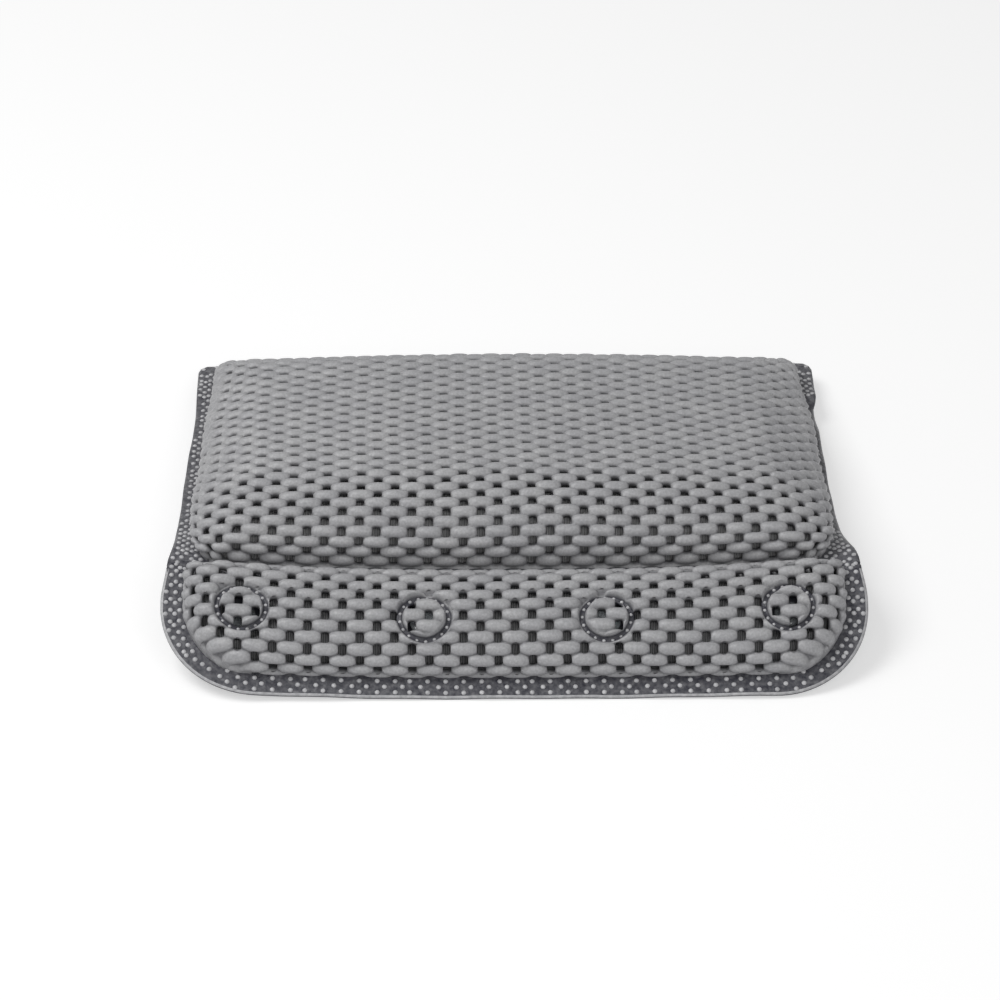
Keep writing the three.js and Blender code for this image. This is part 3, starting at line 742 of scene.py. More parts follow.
def grey(level, blue=0.012):
    return (level, level, level + blue)


class Shading:
    """Procedural material: its shader, and textures over object coordinates in millimetres."""

    def __init__(self, name, base, roughness):
        self.material = bpy.data.materials.new(name)
        self.material.use_nodes = True
        self.nodes, self.links = self.material.node_tree.nodes, self.material.node_tree.links
        self.shader = self.nodes["Principled BSDF"]
        self.number("Base Color", (*base, 1))
        self.number("Roughness", roughness)
        coordinates = self.nodes.new("ShaderNodeTexCoord")
        scale = self.nodes.new("ShaderNodeVectorMath")
        scale.operation = "SCALE"
        scale.inputs["Scale"].default_value = 1 / MM
        self.links.new(coordinates.outputs["Object"], scale.inputs[0])
        self.places = scale.outputs[0]

    def number(self, socket, value):
        self.shader.inputs[socket].default_value = value

    def color(self, output):
        self.links.new(output, self.shader.inputs["Base Color"])

    def texture(self, kind, **numbers):
        made = self.nodes.new(kind)
        for socket, value in numbers.items():
            made.inputs[socket].default_value = value
        self.links.new(self.places, made.inputs["Vector"])
        return made

    def noise(self, scale, detail):
        return self.texture("ShaderNodeTexNoise", Scale=scale, Detail=detail).outputs["Fac"]

    def attribute(self, name):
        node = self.nodes.new("ShaderNodeAttribute")
        node.attribute_name = name
        return node.outputs["Fac"]

    def ramp(self, factor, *stops):
        made = self.nodes.new("ShaderNodeValToRGB")
        elements = made.color_ramp.elements
        elements[0].position, elements[-1].position = stops[0][0], stops[-1][0]
        elements[0].color, elements[-1].color = (*stops[0][1], 1), (*stops[-1][1], 1)
        for position, color in stops[1:-1]:
            elements.new(position).color = (*color, 1)
        self.links.new(factor, made.inputs["Fac"])
        return made.outputs["Color"]

    def mixed(self, blend, first, second, factor=None):
        mix = self.nodes.new("ShaderNodeMix")
        mix.data_type = "RGBA"
        mix.blend_type = blend
        mix.inputs["Factor"].default_value = 1.0
        if factor is not None:
            self.links.new(factor, mix.inputs["Factor"])
        self.links.new(first, mix.inputs["A"])
        self.links.new(second, mix.inputs["B"])
        return mix.outputs["Result"]

    def bump(self, height, strength, distance):
        made = self.nodes.new("ShaderNodeBump")
        made.inputs["Strength"].default_value = strength
        made.inputs["Distance"].default_value = distance * MM
        self.links.new(height, made.inputs["Height"])
        self.links.new(made.outputs["Normal"], self.shader.inputs["Normal"])


def foam_material():
    """Foamed vinyl: matte grey with painted shade in the creases, darker in the pressed rings, with fine
    pores.
    """
    foam = Shading("foamed_vinyl", grey(0.40), 0.4)
    foam.number("Specular IOR Level", 0.5)
    patches = foam.ramp(foam.noise(0.06, 4), (0.35, grey(0.375)), (0.65, grey(0.420, 0.008)))
    # Painted shade: darker where the bead attribute is low, in the creases between beads, at the holes and on
    # the hole walls.
    painted_crease_shade = foam.ramp(foam.attribute("bead"), (0.05, grey(0.44)), (0.5, grey(1, 0)))
    pores = foam.ramp(foam.noise(0.95, 4), (0.32, grey(0.86, 0)), (0.68, grey(1.12, 0)))
    color = foam.mixed("MULTIPLY", foam.mixed("MULTIPLY", patches, pores), painted_crease_shade)
    film = foam.ramp(foam.noise(0.5, 5), (0.3, grey(0.03)), (0.7, grey(0.08)))
    pressed = foam.ramp(foam.attribute("pressed"), (0.5, grey(0, 0)), (0.9, grey(1, 0)))
    foam.color(foam.mixed("MIX", color, film, pressed))
    foam.bump(foam.noise(1.1, 5), 0.3, 0.35)
    return foam.material


def film_material(name, dark, middle, light):
    """Vinyl melted flat by the weld: darker, mottled, with a low sheen."""
    film = Shading(name, grey(middle), 0.4)
    film.color(film.ramp(film.noise(0.45, 6), (0.3, grey(dark)), (0.55, grey(middle)), (0.75, grey(light))))
    film.bump(film.noise(0.9, 4), 0.5, 0.5)
    return film.material


def speckled_material(name, dark, light, scale, roughness):
    skin = Shading(name, grey(light), roughness)
    skin.color(skin.ramp(skin.noise(scale, 3), (0.3, grey(dark)), (0.7, grey(light))))
    skin.bump(skin.noise(2.3, 3), 0.3, 0.2)
    return skin.material


def lining_material(name, dark, light):
    """Dark knitted lining over the filling, seen through the holes."""
    knit = Shading(name, grey(dark, 0.002), 0.9)
    knit.number("Specular IOR Level", 0.1)
    wave = knit.texture("ShaderNodeTexWave", Scale=0.42, Distortion=1.5, Detail=2)
    wave.wave_type = "BANDS"
    wave.bands_direction = "X"
    knit.color(knit.ramp(wave.outputs["Fac"], (0.2, grey(dark, 0.003)), (0.9, grey(light, 0.006))))
    knit.bump(wave.outputs["Fac"], 0.6, 0.4)
    return knit.material


def clear_vinyl_material():
    vinyl = Shading("clear_vinyl", (0.80, 0.85, 0.88), 0.14)
    vinyl.number("Transmission Weight", 0.75)
    vinyl.number("IOR", 1.52)
    vinyl.color(vinyl.ramp(vinyl.noise(0.05, 2), (0.3, (0.76, 0.82, 0.86)), (0.7, (0.84, 0.88, 0.90))))
    vinyl.bump(vinyl.noise(0.25, 2), 0.08, 0.3)
    return vinyl.material


FOAM = foam_material()
FILM_SKIN = film_material("welded_film", 0.025, 0.095, 0.18)
EDGE_SKIN = film_material("edge_film", 0.05, 0.14, 0.24)
RING_SKIN = film_material("ring_film", 0.03, 0.06, 0.11)
DOTS = speckled_material("weld_dots", 0.42, 0.64, 0.35, 0.4)
CUT_EDGE = speckled_material("cut_edge", 0.36, 0.55, 0.5, 0.7)
# Painted light: the cushion's lining is the same knit as the flap's, painted lighter because its deep holes
# get little lamp light.
CUSHION_LINING_LIT = lining_material("cushion_lining", 0.22, 0.55)
FLAP_LINING = lining_material("flap_lining", 0.09, 0.30)
CLEAR = clear_vinyl_material()

# Cushion panels

TOP_MIDDLE = 0.55
UNDER_MIDDLE = 0.5
top_panel = PanelMap(cushion_top, TOP_MIDDLE * CUSHION_DEPTH)
bottom_panel = PanelMap(cushion_bottom, UNDER_MIDDLE * CUSHION_DEPTH)
TOP_PHASE = (-0.15, 4.4)
LEFT_MELT = (22.0, 48.0)
RIGHT_MELT = (21.0, 26.0)
UNDER_MELT = 10.0
RIM_MELT = 1.6
LINING_STEPS = (90, 80)
LINING_LEAST = 0.3


def top_melt(u, v):
    """Melt of the upper panel, which reaches further in from its sides towards the back."""
    share = v / top_panel.length
    left, right = (front + (back - front) * share for front, back in (LEFT_MELT, RIGHT_MELT))
    return top_panel.melt(u, v, np.where(u < 0, left, right))


def make_cushion_panels():
    upper = bead_net("cushion_net", top_panel.extent(), TOP_PHASE, top_panel.place, top_melt, [FOAM])
    lower = bead_net(
        "cushion_under_net", bottom_panel.extent(), TOP_PHASE,
        lambda u, v: bottom_panel.place(-u, v),
        lambda u, v: bottom_panel.melt(u, v, UNDER_MELT), [FOAM])
    return upper, lower


def make_cushion_lining():
    xs = spaced(LINING_MARGIN - CUSHION_HALF, CUSHION_HALF - LINING_MARGIN, LINING_STEPS[0])
    ys = spaced(CUSHION_SEAM + LINING_MARGIN, CUSHION_DEPTH - LINING_MARGIN, LINING_STEPS[1])
    x, y = np.meshgrid(xs, ys)
    top = cushion_top(x, y, LINING_INSET)
    bottom = cushion_bottom(x, y, LINING_INSET)
    bottom[..., 2] = np.minimum(bottom[..., 2], top[..., 2] - LINING_LEAST)
    return mesh_object("cushion_lining", *sheet_body(top, bottom), [CUSHION_LINING_LIT])


# Flap panels

FLAP_MIDDLE = 0.55
FLAP_PHASE = (0.4, -2.85)
FLAP_SIDE_MELT = 5.0
FLAP_END_MELT = 2.0
CORNER_MELT_RUN = 10.0
STEEP_WALL = 4.0
RING_MELT = (2.2, -0.9)
DISC_MELT = 0.55
DISC_MELT_FROM = (7.0, 3.0)
GROOVE_SLOPES = (2.2, 1.4)
GROOVE_EASE = 0.4
# Limits of the net at the flap's corners, in radii, and at its sides
DRAWN_BACK = (0.99, -0.3)
NET_LIMIT = (1.015, 0.5)


def flap_tables():
    xs = spaced(-FLAP_HALF, FLAP_HALF, FINE_STEPS)
    middle = np.full_like(xs, FLAP_MIDDLE * FLAP_LENGTH)
    across = arc_lengths(flap_point(xs, middle, flap_height(xs, middle)))
    reaches = spaced(SOFT_GAP, FLAP_LENGTH, FINE_STEPS)
    nowhere = np.zeros_like(reaches)
    along = arc_lengths(flap_point(nowhere, reaches, flap_height(nowhere, reaches)))
    return xs, across - across[-1] / 2, reaches, along


flap_xs, flap_across, flap_reaches, flap_along = flap_tables()


def flap_free_plan(u, v):
    """Place on the flap before it is cut to the outline; v is counted down from the heel and negative."""
    return np.interp(u, flap_across, flap_xs), np.interp(-v, flap_along, flap_reaches)


def past_corner(x, reach):
    """Whether places lie past the centre of the flap's round front corner, how far, and that in its radii."""
    across = np.maximum(np.abs(x) - (FLAP_HALF - FLAP_ARC), 0)
    ahead = np.maximum(reach - (FLAP_LENGTH - FLAP_ARC), 0)
    return (across > 0) & (ahead > 0), across, ahead, np.hypot(across, ahead) / FLAP_ARC


def flap_plan(u, v):
    """Place on the flap, drawn back to the seam where it lies outside."""
    x, reach = flap_free_plan(u, v)
    in_corner, across, ahead, radii = past_corner(x, reach)
    back = 1 - 1 / np.maximum(radii, 1)
    x = np.where(in_corner, x - np.sign(x) * across * back, x)
    reach = np.where(in_corner, reach - ahead * back, reach)
    half = flap_half_at(reach)
    return np.clip(x, -half, half), reach


def flap_within(u, v, radii_limit, margin):
    x, reach = flap_free_plan(u, v)
    in_corner, _, _, radii = past_corner(x, reach)
    return np.where(in_corner, radii < radii_limit, np.abs(x) < flap_half_at(reach) + margin)


def flap_place(u, v):
    x, reach = flap_plan(u, v)
    return flap_to_world(flap_point(x, reach, flap_height(x, reach)))


def groove_at(x, reach):
    width = (RING_OUTER - RING_INNER) / 2
    distance = ring_distance(x, reach)
    slope = np.where(distance > RING_MIDDLE, *GROOVE_SLOPES)
    inward = width - np.abs(distance - RING_MIDDLE)
    trench = GROOVE_DEPTH * ease((inward + slope - GROOVE_EASE) / slope)
    dome = DISC_DOME * np.maximum(1 - (distance / RING_INNER) ** 2, 0)
    drawn = RING_DRAW * ease((RING_OUTER + RING_DRAW_RUN - distance) / RING_DRAW_RUN)
    return np.maximum(trench, np.where(distance > RING_MIDDLE, drawn, -dome))


def flap_melt(u, v):
    x, reach = flap_plan(u, v)
    corner = ease(reach, FLAP_LENGTH - FLAP_ARC, CORNER_MELT_RUN)
    to_seam = STEEP_WALL * (flap_half_at(reach) - np.abs(x))
    to_side = corner * to_seam + (1 - corner) * (flap_across[-1] - np.abs(u))
    in_corner, _, _, radii = past_corner(*flap_free_plan(u, v))
    to_arc = np.where(in_corner, STEEP_WALL * (1 - radii) * FLAP_ARC, np.inf)
    side = 1 - ease(np.minimum(to_side, to_arc) / FLAP_SIDE_MELT)
    ends = 1 - ease(np.minimum(-v, flap_along[-1] + v) / FLAP_END_MELT)
    distance = ring_distance(x, reach)
    ring = ease(np.abs(distance - RING_MIDDLE), *RING_MELT)
    disc = np.where(distance < RING_MIDDLE, DISC_MELT * ease(distance, *DISC_MELT_FROM), 0)
    return np.maximum(np.maximum(side, ends), np.maximum(ring, disc))


FLAP_EXTENT = (flap_across[0], flap_across[-1], -flap_along[-1], 0.0)


def make_flap_net():
    return bead_net(
        "flap_net", FLAP_EXTENT, FLAP_PHASE, flap_place, flap_melt, [FOAM],
        groove=lambda u, v: groove_at(*flap_plan(u, v)), fine=2,
        inside=lambda u, v: flap_within(u, v, *NET_LIMIT),
        upright=(flap_turned((0, 0, 1)), lambda u, v: ~flap_within(u, v, *DRAWN_BACK)))


UNDER_LEVEL = -2.0
UNDER_INSET = 2.0
WELL_DEPTH = 5.6
WELL_MELT = (16.5, -3.0)
WELL_SLOPE = (13.5, -5.0)
NECK_HOLE = 4.6
UNDER_RIM_MELT = 4.0
UNDER_EDGE = (-0.3, 0.6)


def make_flap_under_net():
    """Lower panel of the flap, drawn up into a round well over each suction cup."""
    half, length = FLAP_HALF - UNDER_INSET, FLAP_LENGTH - UNDER_INSET - HINGE_GAP

    def plan(u, v):
        reach = HINGE_GAP - v
        limit = flap_half_at(reach, UNDER_INSET)
        return np.clip(-u, -limit, limit), reach

    def place(u, v):
        return soft_flap(*plan(u, v), UNDER_LEVEL)

    def melt(u, v):
        x, reach = plan(u, v)
        ends = np.minimum(reach - HINGE_GAP, FLAP_LENGTH - reach)
        rim = np.minimum(flap_half_at(reach) - np.abs(x), ends)
        well = ease(ring_distance(x, reach), *WELL_MELT)
        return np.maximum(1 - ease(rim / UNDER_RIM_MELT), well)

    def groove(u, v):
        return WELL_DEPTH * ease(ring_distance(*plan(u, v)), *WELL_SLOPE)

    def drawn_back(u, v):
        return np.abs(u) > flap_half_at(HINGE_GAP - v, UNDER_INSET) + UNDER_EDGE[0]

    def inside(u, v):
        reach = HINGE_GAP - v
        on_panel = np.abs(u) < flap_half_at(reach, UNDER_INSET) + UNDER_EDGE[1]
        return on_panel & (ring_distance(-u, reach) > NECK_HOLE)

    return bead_net(
        "flap_under_net", (-half, half, -length, 0.0), FLAP_PHASE, place, melt, [FOAM],
        groove=groove, inside=inside, upright=(-flap_turned((0, 0, 1)), drawn_back))


FLAP_LINING_STEPS = (180, 60)
LINING_BASE = 2.2
LINING_LOW = (2.6, 0.2)
LINING_RING_RUN = 3.0
LINING_RING_DROP = 0.6


def make_flap_lining():
    reaches = spaced(SOFT_GAP + LINING_MARGIN, FLAP_LENGTH - LINING_MARGIN, FLAP_LINING_STEPS[1])
    share = spaced(-1, 1, FLAP_LINING_STEPS[0])
    reach = reaches[:, None]
    x = flap_half_at(reach, LINING_MARGIN) * share
    padded = flap_height(x, reach, LINING_INSET)
    ring = ease((RING_OUTER + LINING_RING_RUN - ring_distance(x, reach)) / LINING_RING_RUN)
    lowest = np.minimum(padded, LINING_LOW[0]) + LINING_LOW[1]
    height = np.maximum(padded - ring * (GROOVE_DEPTH + LINING_RING_DROP), lowest)
    top = soft_flap(x, reach, height)
    bottom = soft_flap(x, reach, np.minimum(LINING_BASE, height - LINING_LEAST))
    return mesh_object("flap_lining", *sheet_body(top, bottom), [FLAP_LINING])


# Welded flanges


ARC_LEAST = 10


def traced(pieces, step):
    """Points and outward directions in plan along arcs and lines.

    An arc is (centre, radius, first angle, last angle) and a line is (start, end, outward).
    """
    points, outward = [], []
    for part in pieces:
        if len(part) == 4:
            centre, radius, first, last = part
            count = max(int(radius * abs(math.radians(last - first)) / step), ARC_LEAST)
            angle = np.radians(np.linspace(first, last, count))
            direction = np.stack([np.cos(angle), np.sin(angle)], -1)
            points.append(np.array(centre) + radius * direction)
        else:
            start, end, direction = part
            length = math.dist(start, end)
            share = np.linspace(0, 1, int(length / step))[1:-1, None]
            points.append(np.array(start) * (1 - share) + np.array(end) * share)
            direction = np.broadcast_to(direction, points[-1].shape)
        outward.append(direction)
    return np.concatenate(points), np.concatenate(outward)


def distance_to(points, directions, outline):
    """Distance from each point along its direction to an outline of points in plan."""
    best = np.full(len(points), np.inf)
    for start, end in zip(outline[:-1], outline[1:]):
        edge, offset = end - start, start - points
        cross = directions[:, 0] * edge[1] - directions[:, 1] * edge[0]
        cross = np.where(np.abs(cross) < 1e-9, 1e-9, cross)
        along = (offset[:, 0] * edge[1] - offset[:, 1] * edge[0]) / cross
        across = (offset[:, 0] * directions[:, 1] - offset[:, 1] * directions[:, 0]) / cross
        hit = (along > 0) & (across > -1e-6) & (across < 1 + 1e-6) & (along < best)
        best = np.where(hit, along, best)
    return best


HINGE_PINCH = 2.0
HINGE_PINCH_RUN = 20.0
HINGE_LAP = 0.4
FLANGE_TUCK = 2.6
FLANGE_LIP = 1.2
FLANGE_STEPS = 9
LIP_DROP = 0.3
LIP_START = 1.0
RIPPLE_RUN = 15.0
SEAM_STEP = 1.6
OUTLINE_STEP = 1.5
FLARE_STEPS = 25
SIDE_STEPS = 30
PINCH_STEPS = 12
FLARE_HANDLES = (9.0, 18.0)
LEFT_WIDEN = 2.4
LEFT_WIDEN_FROM = (8.0, 30.0)
LEFT_WIDEN_TO = (160.0, -70.0)
FRONT_ARC = 78
HEEL_ARC = 76

# Droop of the cushion's film in degrees, with the start and run of each along and from the back or side
SIDE_DROOP = 15
SIDE_DROOP_FROM = (20, 22)
SIDE_DROOP_TO = (-28, -6)
FOLD_DROOP = 14
FOLD_FROM = (-62, 24)
BACK_DROOP = 50
BACK_DROOP_SIDE = (-3, -8)
BACK_DROOP_FROM = (-12, 10)

# Height, length and start of each wave of the films
CUSHION_WAVES = ((0.5, 5.3, 0), (0.5, 8.9, 1.2))
FLAP_WAVES = ((0.25, 6.1, 0), (0.2, 14.3, 0.7))


def lattice_dots(points, outward, width):
    """Stations along the seam and distances across the film of the weld dots of a staggered lattice."""
    on_side = np.abs(outward[:, 0]) > np.abs(outward[:, 1])
    found = []
    for step, here in ((DOT_STEP, ~on_side), (SIDE_DOT_STEP, on_side)):
        first = np.floor((points.min(0) - FLANGE) / step).astype(int)
        last = np.ceil((points.max(0) + FLANGE) / step).astype(int)
        column, row = np.meshgrid(np.arange(first[0], last[0] + 1), np.arange(first[1], last[1] + 1))
        chosen = (column + row) % 2 == 0
        spots = np.stack([column[chosen], row[chosen]], -1) * step
        offset = spots[:, None] - points
        across = (offset * outward).sum(-1)
        aside = np.abs(offset[..., 0] * outward[:, 1] - offset[..., 1] * outward[:, 0])
        on_film = (across > DOT_MARGIN) & (across < width - FLANGE_LIP - DOT_MARGIN / 2)
        aside = np.where(on_film & here & (aside < DOT_RADIUS), aside, np.inf)
        station = aside.argmin(1)
        spot = np.nonzero(np.isfinite(aside.min(1)))[0]
        found += zip(station[spot], across[spot, station[spot]])
    return found


def flange(name, skin, points, outward, width, droop, to_world, waves, lip=None):
    """Film along a seam, bent down by droop, with rows of dots, and a pale lip where lip is true."""
    lengths = arc_lengths(points)
    share = np.concatenate([np.linspace(0, 1, FLANGE_STEPS), [1.0]])
    reach = -FLANGE_TUCK + (width - FLANGE_LIP + FLANGE_TUCK)[:, None] * share
    reach[:, -1] = width
    out = np.maximum(reach, 0) * np.cos(droop)[:, None] + np.minimum(reach, 0)
    still = ease(np.abs(points[:, 1] + outward[:, 1] * width) / RIPPLE_RUN)
    wave = sum(height * np.sin(lengths / length + start) for height, length, start in waves)
    ripple = (still * wave)[:, None] * np.clip(reach / np.maximum(width, 1)[:, None], 0, 1)
    down = np.maximum(reach, 0) * np.sin(droop)[:, None] - ripple
    plan = points[:, None] + outward[:, None] * out[..., None]
    top = np.concatenate([plan, (FILM / 2 - down)[..., None]], -1)
    bottom = np.concatenate([plan, (-FILM / 2 - down)[..., None]], -1)
    top[:, -1, 2] -= FILM * LIP_DROP
    top_world, bottom_world = to_world(top), to_world(bottom)
    body_points, faces = sheet_body(top_world, bottom_world)
    columns = len(share)
    kinds = np.zeros(len(faces), int)
    if lip is not None:
        cells = kinds[:(len(points) - 1) * (columns - 1)].reshape(len(points) - 1, columns - 1)
        cells[lip[:-1], -1] = 2
    pile = Pile()
    pile.add(body_points, faces, kinds)
    dots, normals = [], []
    for station, across in lattice_dots(points[:-1], outward[:-1], width[:-1]):
        cell = np.interp(across, reach[station], np.arange(columns))
        low = min(int(cell), columns - 2)
        part = cell - low
        spot = top_world[station, low] * (1 - part) + top_world[station, low + 1] * part
        side = top_world[station, low + 1] - top_world[station, low]
        ahead = top_world[station + 1, low] - top_world[station, low]
        normal = np.cross(side, ahead)
        facing = top_world[station, low] - bottom_world[station, low]
        dots.append(spot)
        normals.append(normal * np.sign(np.dot(normal, facing)))
    add_domes(pile, dots, normals, DOT_RADIUS, DOT_HEIGHT, 1)
    return pile.made(name, [skin, DOTS, CUT_EDGE])


def cushion_flange_outline():
    """Outer edge of the cushion's flange in plan, from the right end of the hinge to the left end."""
    outer, wide = CUSHION_WIDTH / 2, flap_edge_high[0] - HINGE_PINCH
    start = -HINGE_LAP
    share = np.linspace(0, 1, FLARE_STEPS)[:, None]
    near, far = (start + handle for handle in FLARE_HANDLES)
    handles = np.array([(wide, start), (wide, near), (outer, far), (outer, start + FLARE_RUN)])
    weights = [(1 - share) ** 3, 3 * share * (1 - share) ** 2, 3 * share**2 * (1 - share), share**3]
    flare = sum(weight * handle for weight, handle in zip(weights, handles))
    corner = np.array([(outer, FLANGE_BACK - FLANGE_CUT), (outer - FLANGE_CUT, FLANGE_BACK)])
    side = np.linspace(start + FLARE_RUN, FLANGE_BACK - FLANGE_CUT, SIDE_STEPS)[1:-1]
    side = np.stack([np.full_like(side, outer), side], -1)
    right = np.concatenate([[(0.0, start)], flare, side, corner])
    left = right * (-1, 1)
    y = left[:, 1]
    left[:, 0] -= LEFT_WIDEN * ease(y, *LEFT_WIDEN_FROM) * ease(y, *LEFT_WIDEN_TO)
    return np.concatenate([right, left[::-1]])


def make_cushion_flange():
    half, front_x, back_x = CUSHION_HALF, CUSHION_HALF - FRONT_CORNER, CUSHION_HALF - BACK_CORNER
    front_y, back_y = CUSHION_SEAM + FRONT_CORNER, CUSHION_DEPTH - BACK_CORNER
    points, outward = traced([
        ((front_x, front_y), FRONT_CORNER, -FRONT_ARC, 0),
        ((half, front_y), (half, back_y), (1, 0)),
        ((back_x, back_y), BACK_CORNER, 0, 90),
        ((back_x, CUSHION_DEPTH), (-back_x, CUSHION_DEPTH), (0, 1)),
        ((-back_x, back_y), BACK_CORNER, 90, 180),
        ((-half, back_y), (-half, front_y), (-1, 0)),
        ((-front_x, front_y), FRONT_CORNER, 180, 180 + FRONT_ARC),
    ], SEAM_STEP)
    width = distance_to(points, outward, cushion_flange_outline())
    x, y = points[:, 0], points[:, 1]
    from_back = y - CUSHION_DEPTH
    on_side = ease(y, *SIDE_DROOP_FROM) * ease(from_back, *SIDE_DROOP_TO)
    on_back = ease(np.abs(x) - CUSHION_HALF, *BACK_DROOP_SIDE) * ease(from_back, *BACK_DROOP_FROM)
    fold = on_side * ease(from_back, *FOLD_FROM)
    droop = np.where(x > 0, SIDE_DROOP * on_side + FOLD_DROOP * fold, 0) + BACK_DROOP * on_back
    placed = np.stack(drawn_in(x, y), -1)

    def to_world(local):
        world = local.copy()
        world[..., 2] += seam_height(local[..., 0], local[..., 1])
        world[..., 1] += HINGE_Y
        return world

    return flange(
        "cushion_flange", EDGE_SKIN, placed, outward, width, np.radians(droop), to_world, CUSHION_WAVES)


def flap_flange_outline():
    wide, corner = flap_edge_high[0], FLAP_CORNER
    pieces = [
        ((wide - corner, corner - FLAP_REACH), corner, 0, -90),
        ((corner - wide, corner - FLAP_REACH), corner, -90, -180),
    ]
    around, _ = traced(pieces, OUTLINE_STEP)
    reach = np.linspace(-HINGE_LAP, HINGE_PINCH_RUN, PINCH_STEPS)
    pinched = wide - HINGE_PINCH * (1 - ease(reach / HINGE_PINCH_RUN))
    right = np.stack([pinched, -reach], -1)
    left = (right * (-1, 1))[::-1]
    return np.concatenate([[(0.0, HINGE_LAP)], right, around[1:-1], left, [(0.0, HINGE_LAP)]])


def make_flap_flange():
    half, corner, heel = FLAP_HALF, FLAP_ARC, FLAP_HEEL_CORNER
    heel_x, heel_y = half - heel, -SOFT_GAP - heel
    front_x, front_y = half - corner, corner - FLAP_LENGTH
    points, outward = traced([
        ((heel_x, heel_y), heel, HEEL_ARC, 0),
        ((half, heel_y), (half, front_y), (1, 0)),
        ((front_x, front_y), corner, 0, -90),
        ((front_x, -FLAP_LENGTH), (-front_x, -FLAP_LENGTH), (0, -1)),
        ((-front_x, front_y), corner, -90, -180),
        ((-half, front_y), (-half, heel_y), (-1, 0)),
        ((-heel_x, heel_y), heel, 180, 180 - HEEL_ARC),
    ], SEAM_STEP)
    width = distance_to(points, outward, flap_flange_outline())
    droop = np.zeros(len(points))
    lip = points[:, 1] + outward[:, 1] * width < -HINGE_GAP - LIP_START
    return flange("flap_flange", FILM_SKIN, points, outward, width, droop, flap_to_world, FLAP_WAVES, lip)


STRIP_INSET = 0.5
STRIP_OVERLAP = 1.6
STRIP_STEPS = (161, 11)
STRIP_RIPPLE = (0.15, 5.1, 3.0)
STRIP_FILM = 0.9
STRIP_DOT = 0.9
STRIP_DOT_ASIDE = 1.2


def make_hinge_strip():
    """Film across the hinge line, flat under the cushion's seam and bent down to the flap."""
    half = flap_edge_high[0] - HINGE_PINCH - STRIP_INSET
    reach = HINGE_GAP + STRIP_OVERLAP
    across = np.linspace(-half, half, STRIP_STEPS[0])
    along = np.linspace(reach, -reach, STRIP_STEPS[1])

    def strip_place(x, y, above):
        level = np.where(y > 0, -SEAM_FALL * y / CUSHION_DEPTH, y * math.tan(TILT))
        return np.stack([x, y + HINGE_Y, HINGE_Z + level + above + end_lift(x) - ridge(x, y)], -1)

    x, y = np.meshgrid(across, along)
    height, wave_x, wave_y = STRIP_RIPPLE
    middle = strip_place(x, y, height * np.sin(x / wave_x) * np.cos(y / wave_y))
    thick = np.array([0, 0, FILM / 2 * STRIP_FILM])
    pile = Pile()
    pile.add(*sheet_body(middle + thick, middle - thick), 0)
    spots = np.arange(DOT_STEP[0] - half, half, DOT_STEP[0])
    aside = np.where(np.arange(len(spots)) % 2 == 0, STRIP_DOT_ASIDE, -STRIP_DOT_ASIDE)
    upward = np.tile((0, 0, 1.0), (len(spots), 1))
    add_domes(pile, strip_place(spots, aside, thick[2]), upward, DOT_RADIUS * STRIP_DOT, DOT_HEIGHT, 1)
    return pile.made("hinge_strip", [FILM_SKIN, DOTS])


# Rings and suction cups

RING_TOP = 3.7
ROUND_STEPS = 64
CUP_STEPS = 14
RING_TURN = 0.2
RING_DOT_RADIUS = 0.85
RING_SECTION = [(-1.3, -1.5), (1.3, -1.5), (1.5, -0.4), (0.9, 0.0), (-0.9, 0.0), (-1.5, -0.4)]


def make_ring(number):
    """Film at the bottom of a ring groove, with a ring of dots."""
    centre_x, centre_reach, _ = CUP_PLACES[number]
    angle = np.linspace(0, 2 * math.pi, ROUND_STEPS, endpoint=False)

    def around(radius, offset, turn):
        x = centre_x + radius * np.cos(turn)
        reach = centre_reach + radius * np.sin(turn)
        return soft_flap(x, reach, flap_height(x, reach) - RING_TOP + offset)

    loops = [around(RING_MIDDLE + aside, offset, angle) for aside, offset in RING_SECTION]
    points = np.stack(loops, 1)
    count = len(RING_SECTION)
    index = np.arange(len(angle) * count).reshape(len(angle), count)
    ahead, beside = np.roll(index, -1, axis=0), np.roll(index, -1, axis=1)
    faces = np.stack([index, beside, np.roll(ahead, -1, axis=1), ahead], -1).reshape(-1, 4)
    pile = Pile()
    pile.add(points, faces, 0)
    turns = np.arange(RING_DOTS) * 2 * math.pi / RING_DOTS + RING_TURN * number
    dots = around(RING_MIDDLE, 0.0, turns)
    outward = np.tile(flap_turned((0, 0, 1)), (RING_DOTS, 1))
    add_domes(pile, dots, outward, RING_DOT_RADIUS, DOT_HEIGHT, 1)
    return pile.made(f"ring_film_{number}", [RING_SKIN, DOTS])


CUP_RADIUS = 18.0
CUP_WALL = 1.5
CUP_THINNING = 0.55
CUP_WAIST = -3.9
CUP_SHOULDER = 10.0
CUP_CURVE = 1.8
CUP_LIP = 0.9
HEAD_DEPTH = 5.0
HEAD_HEIGHT = 2.4


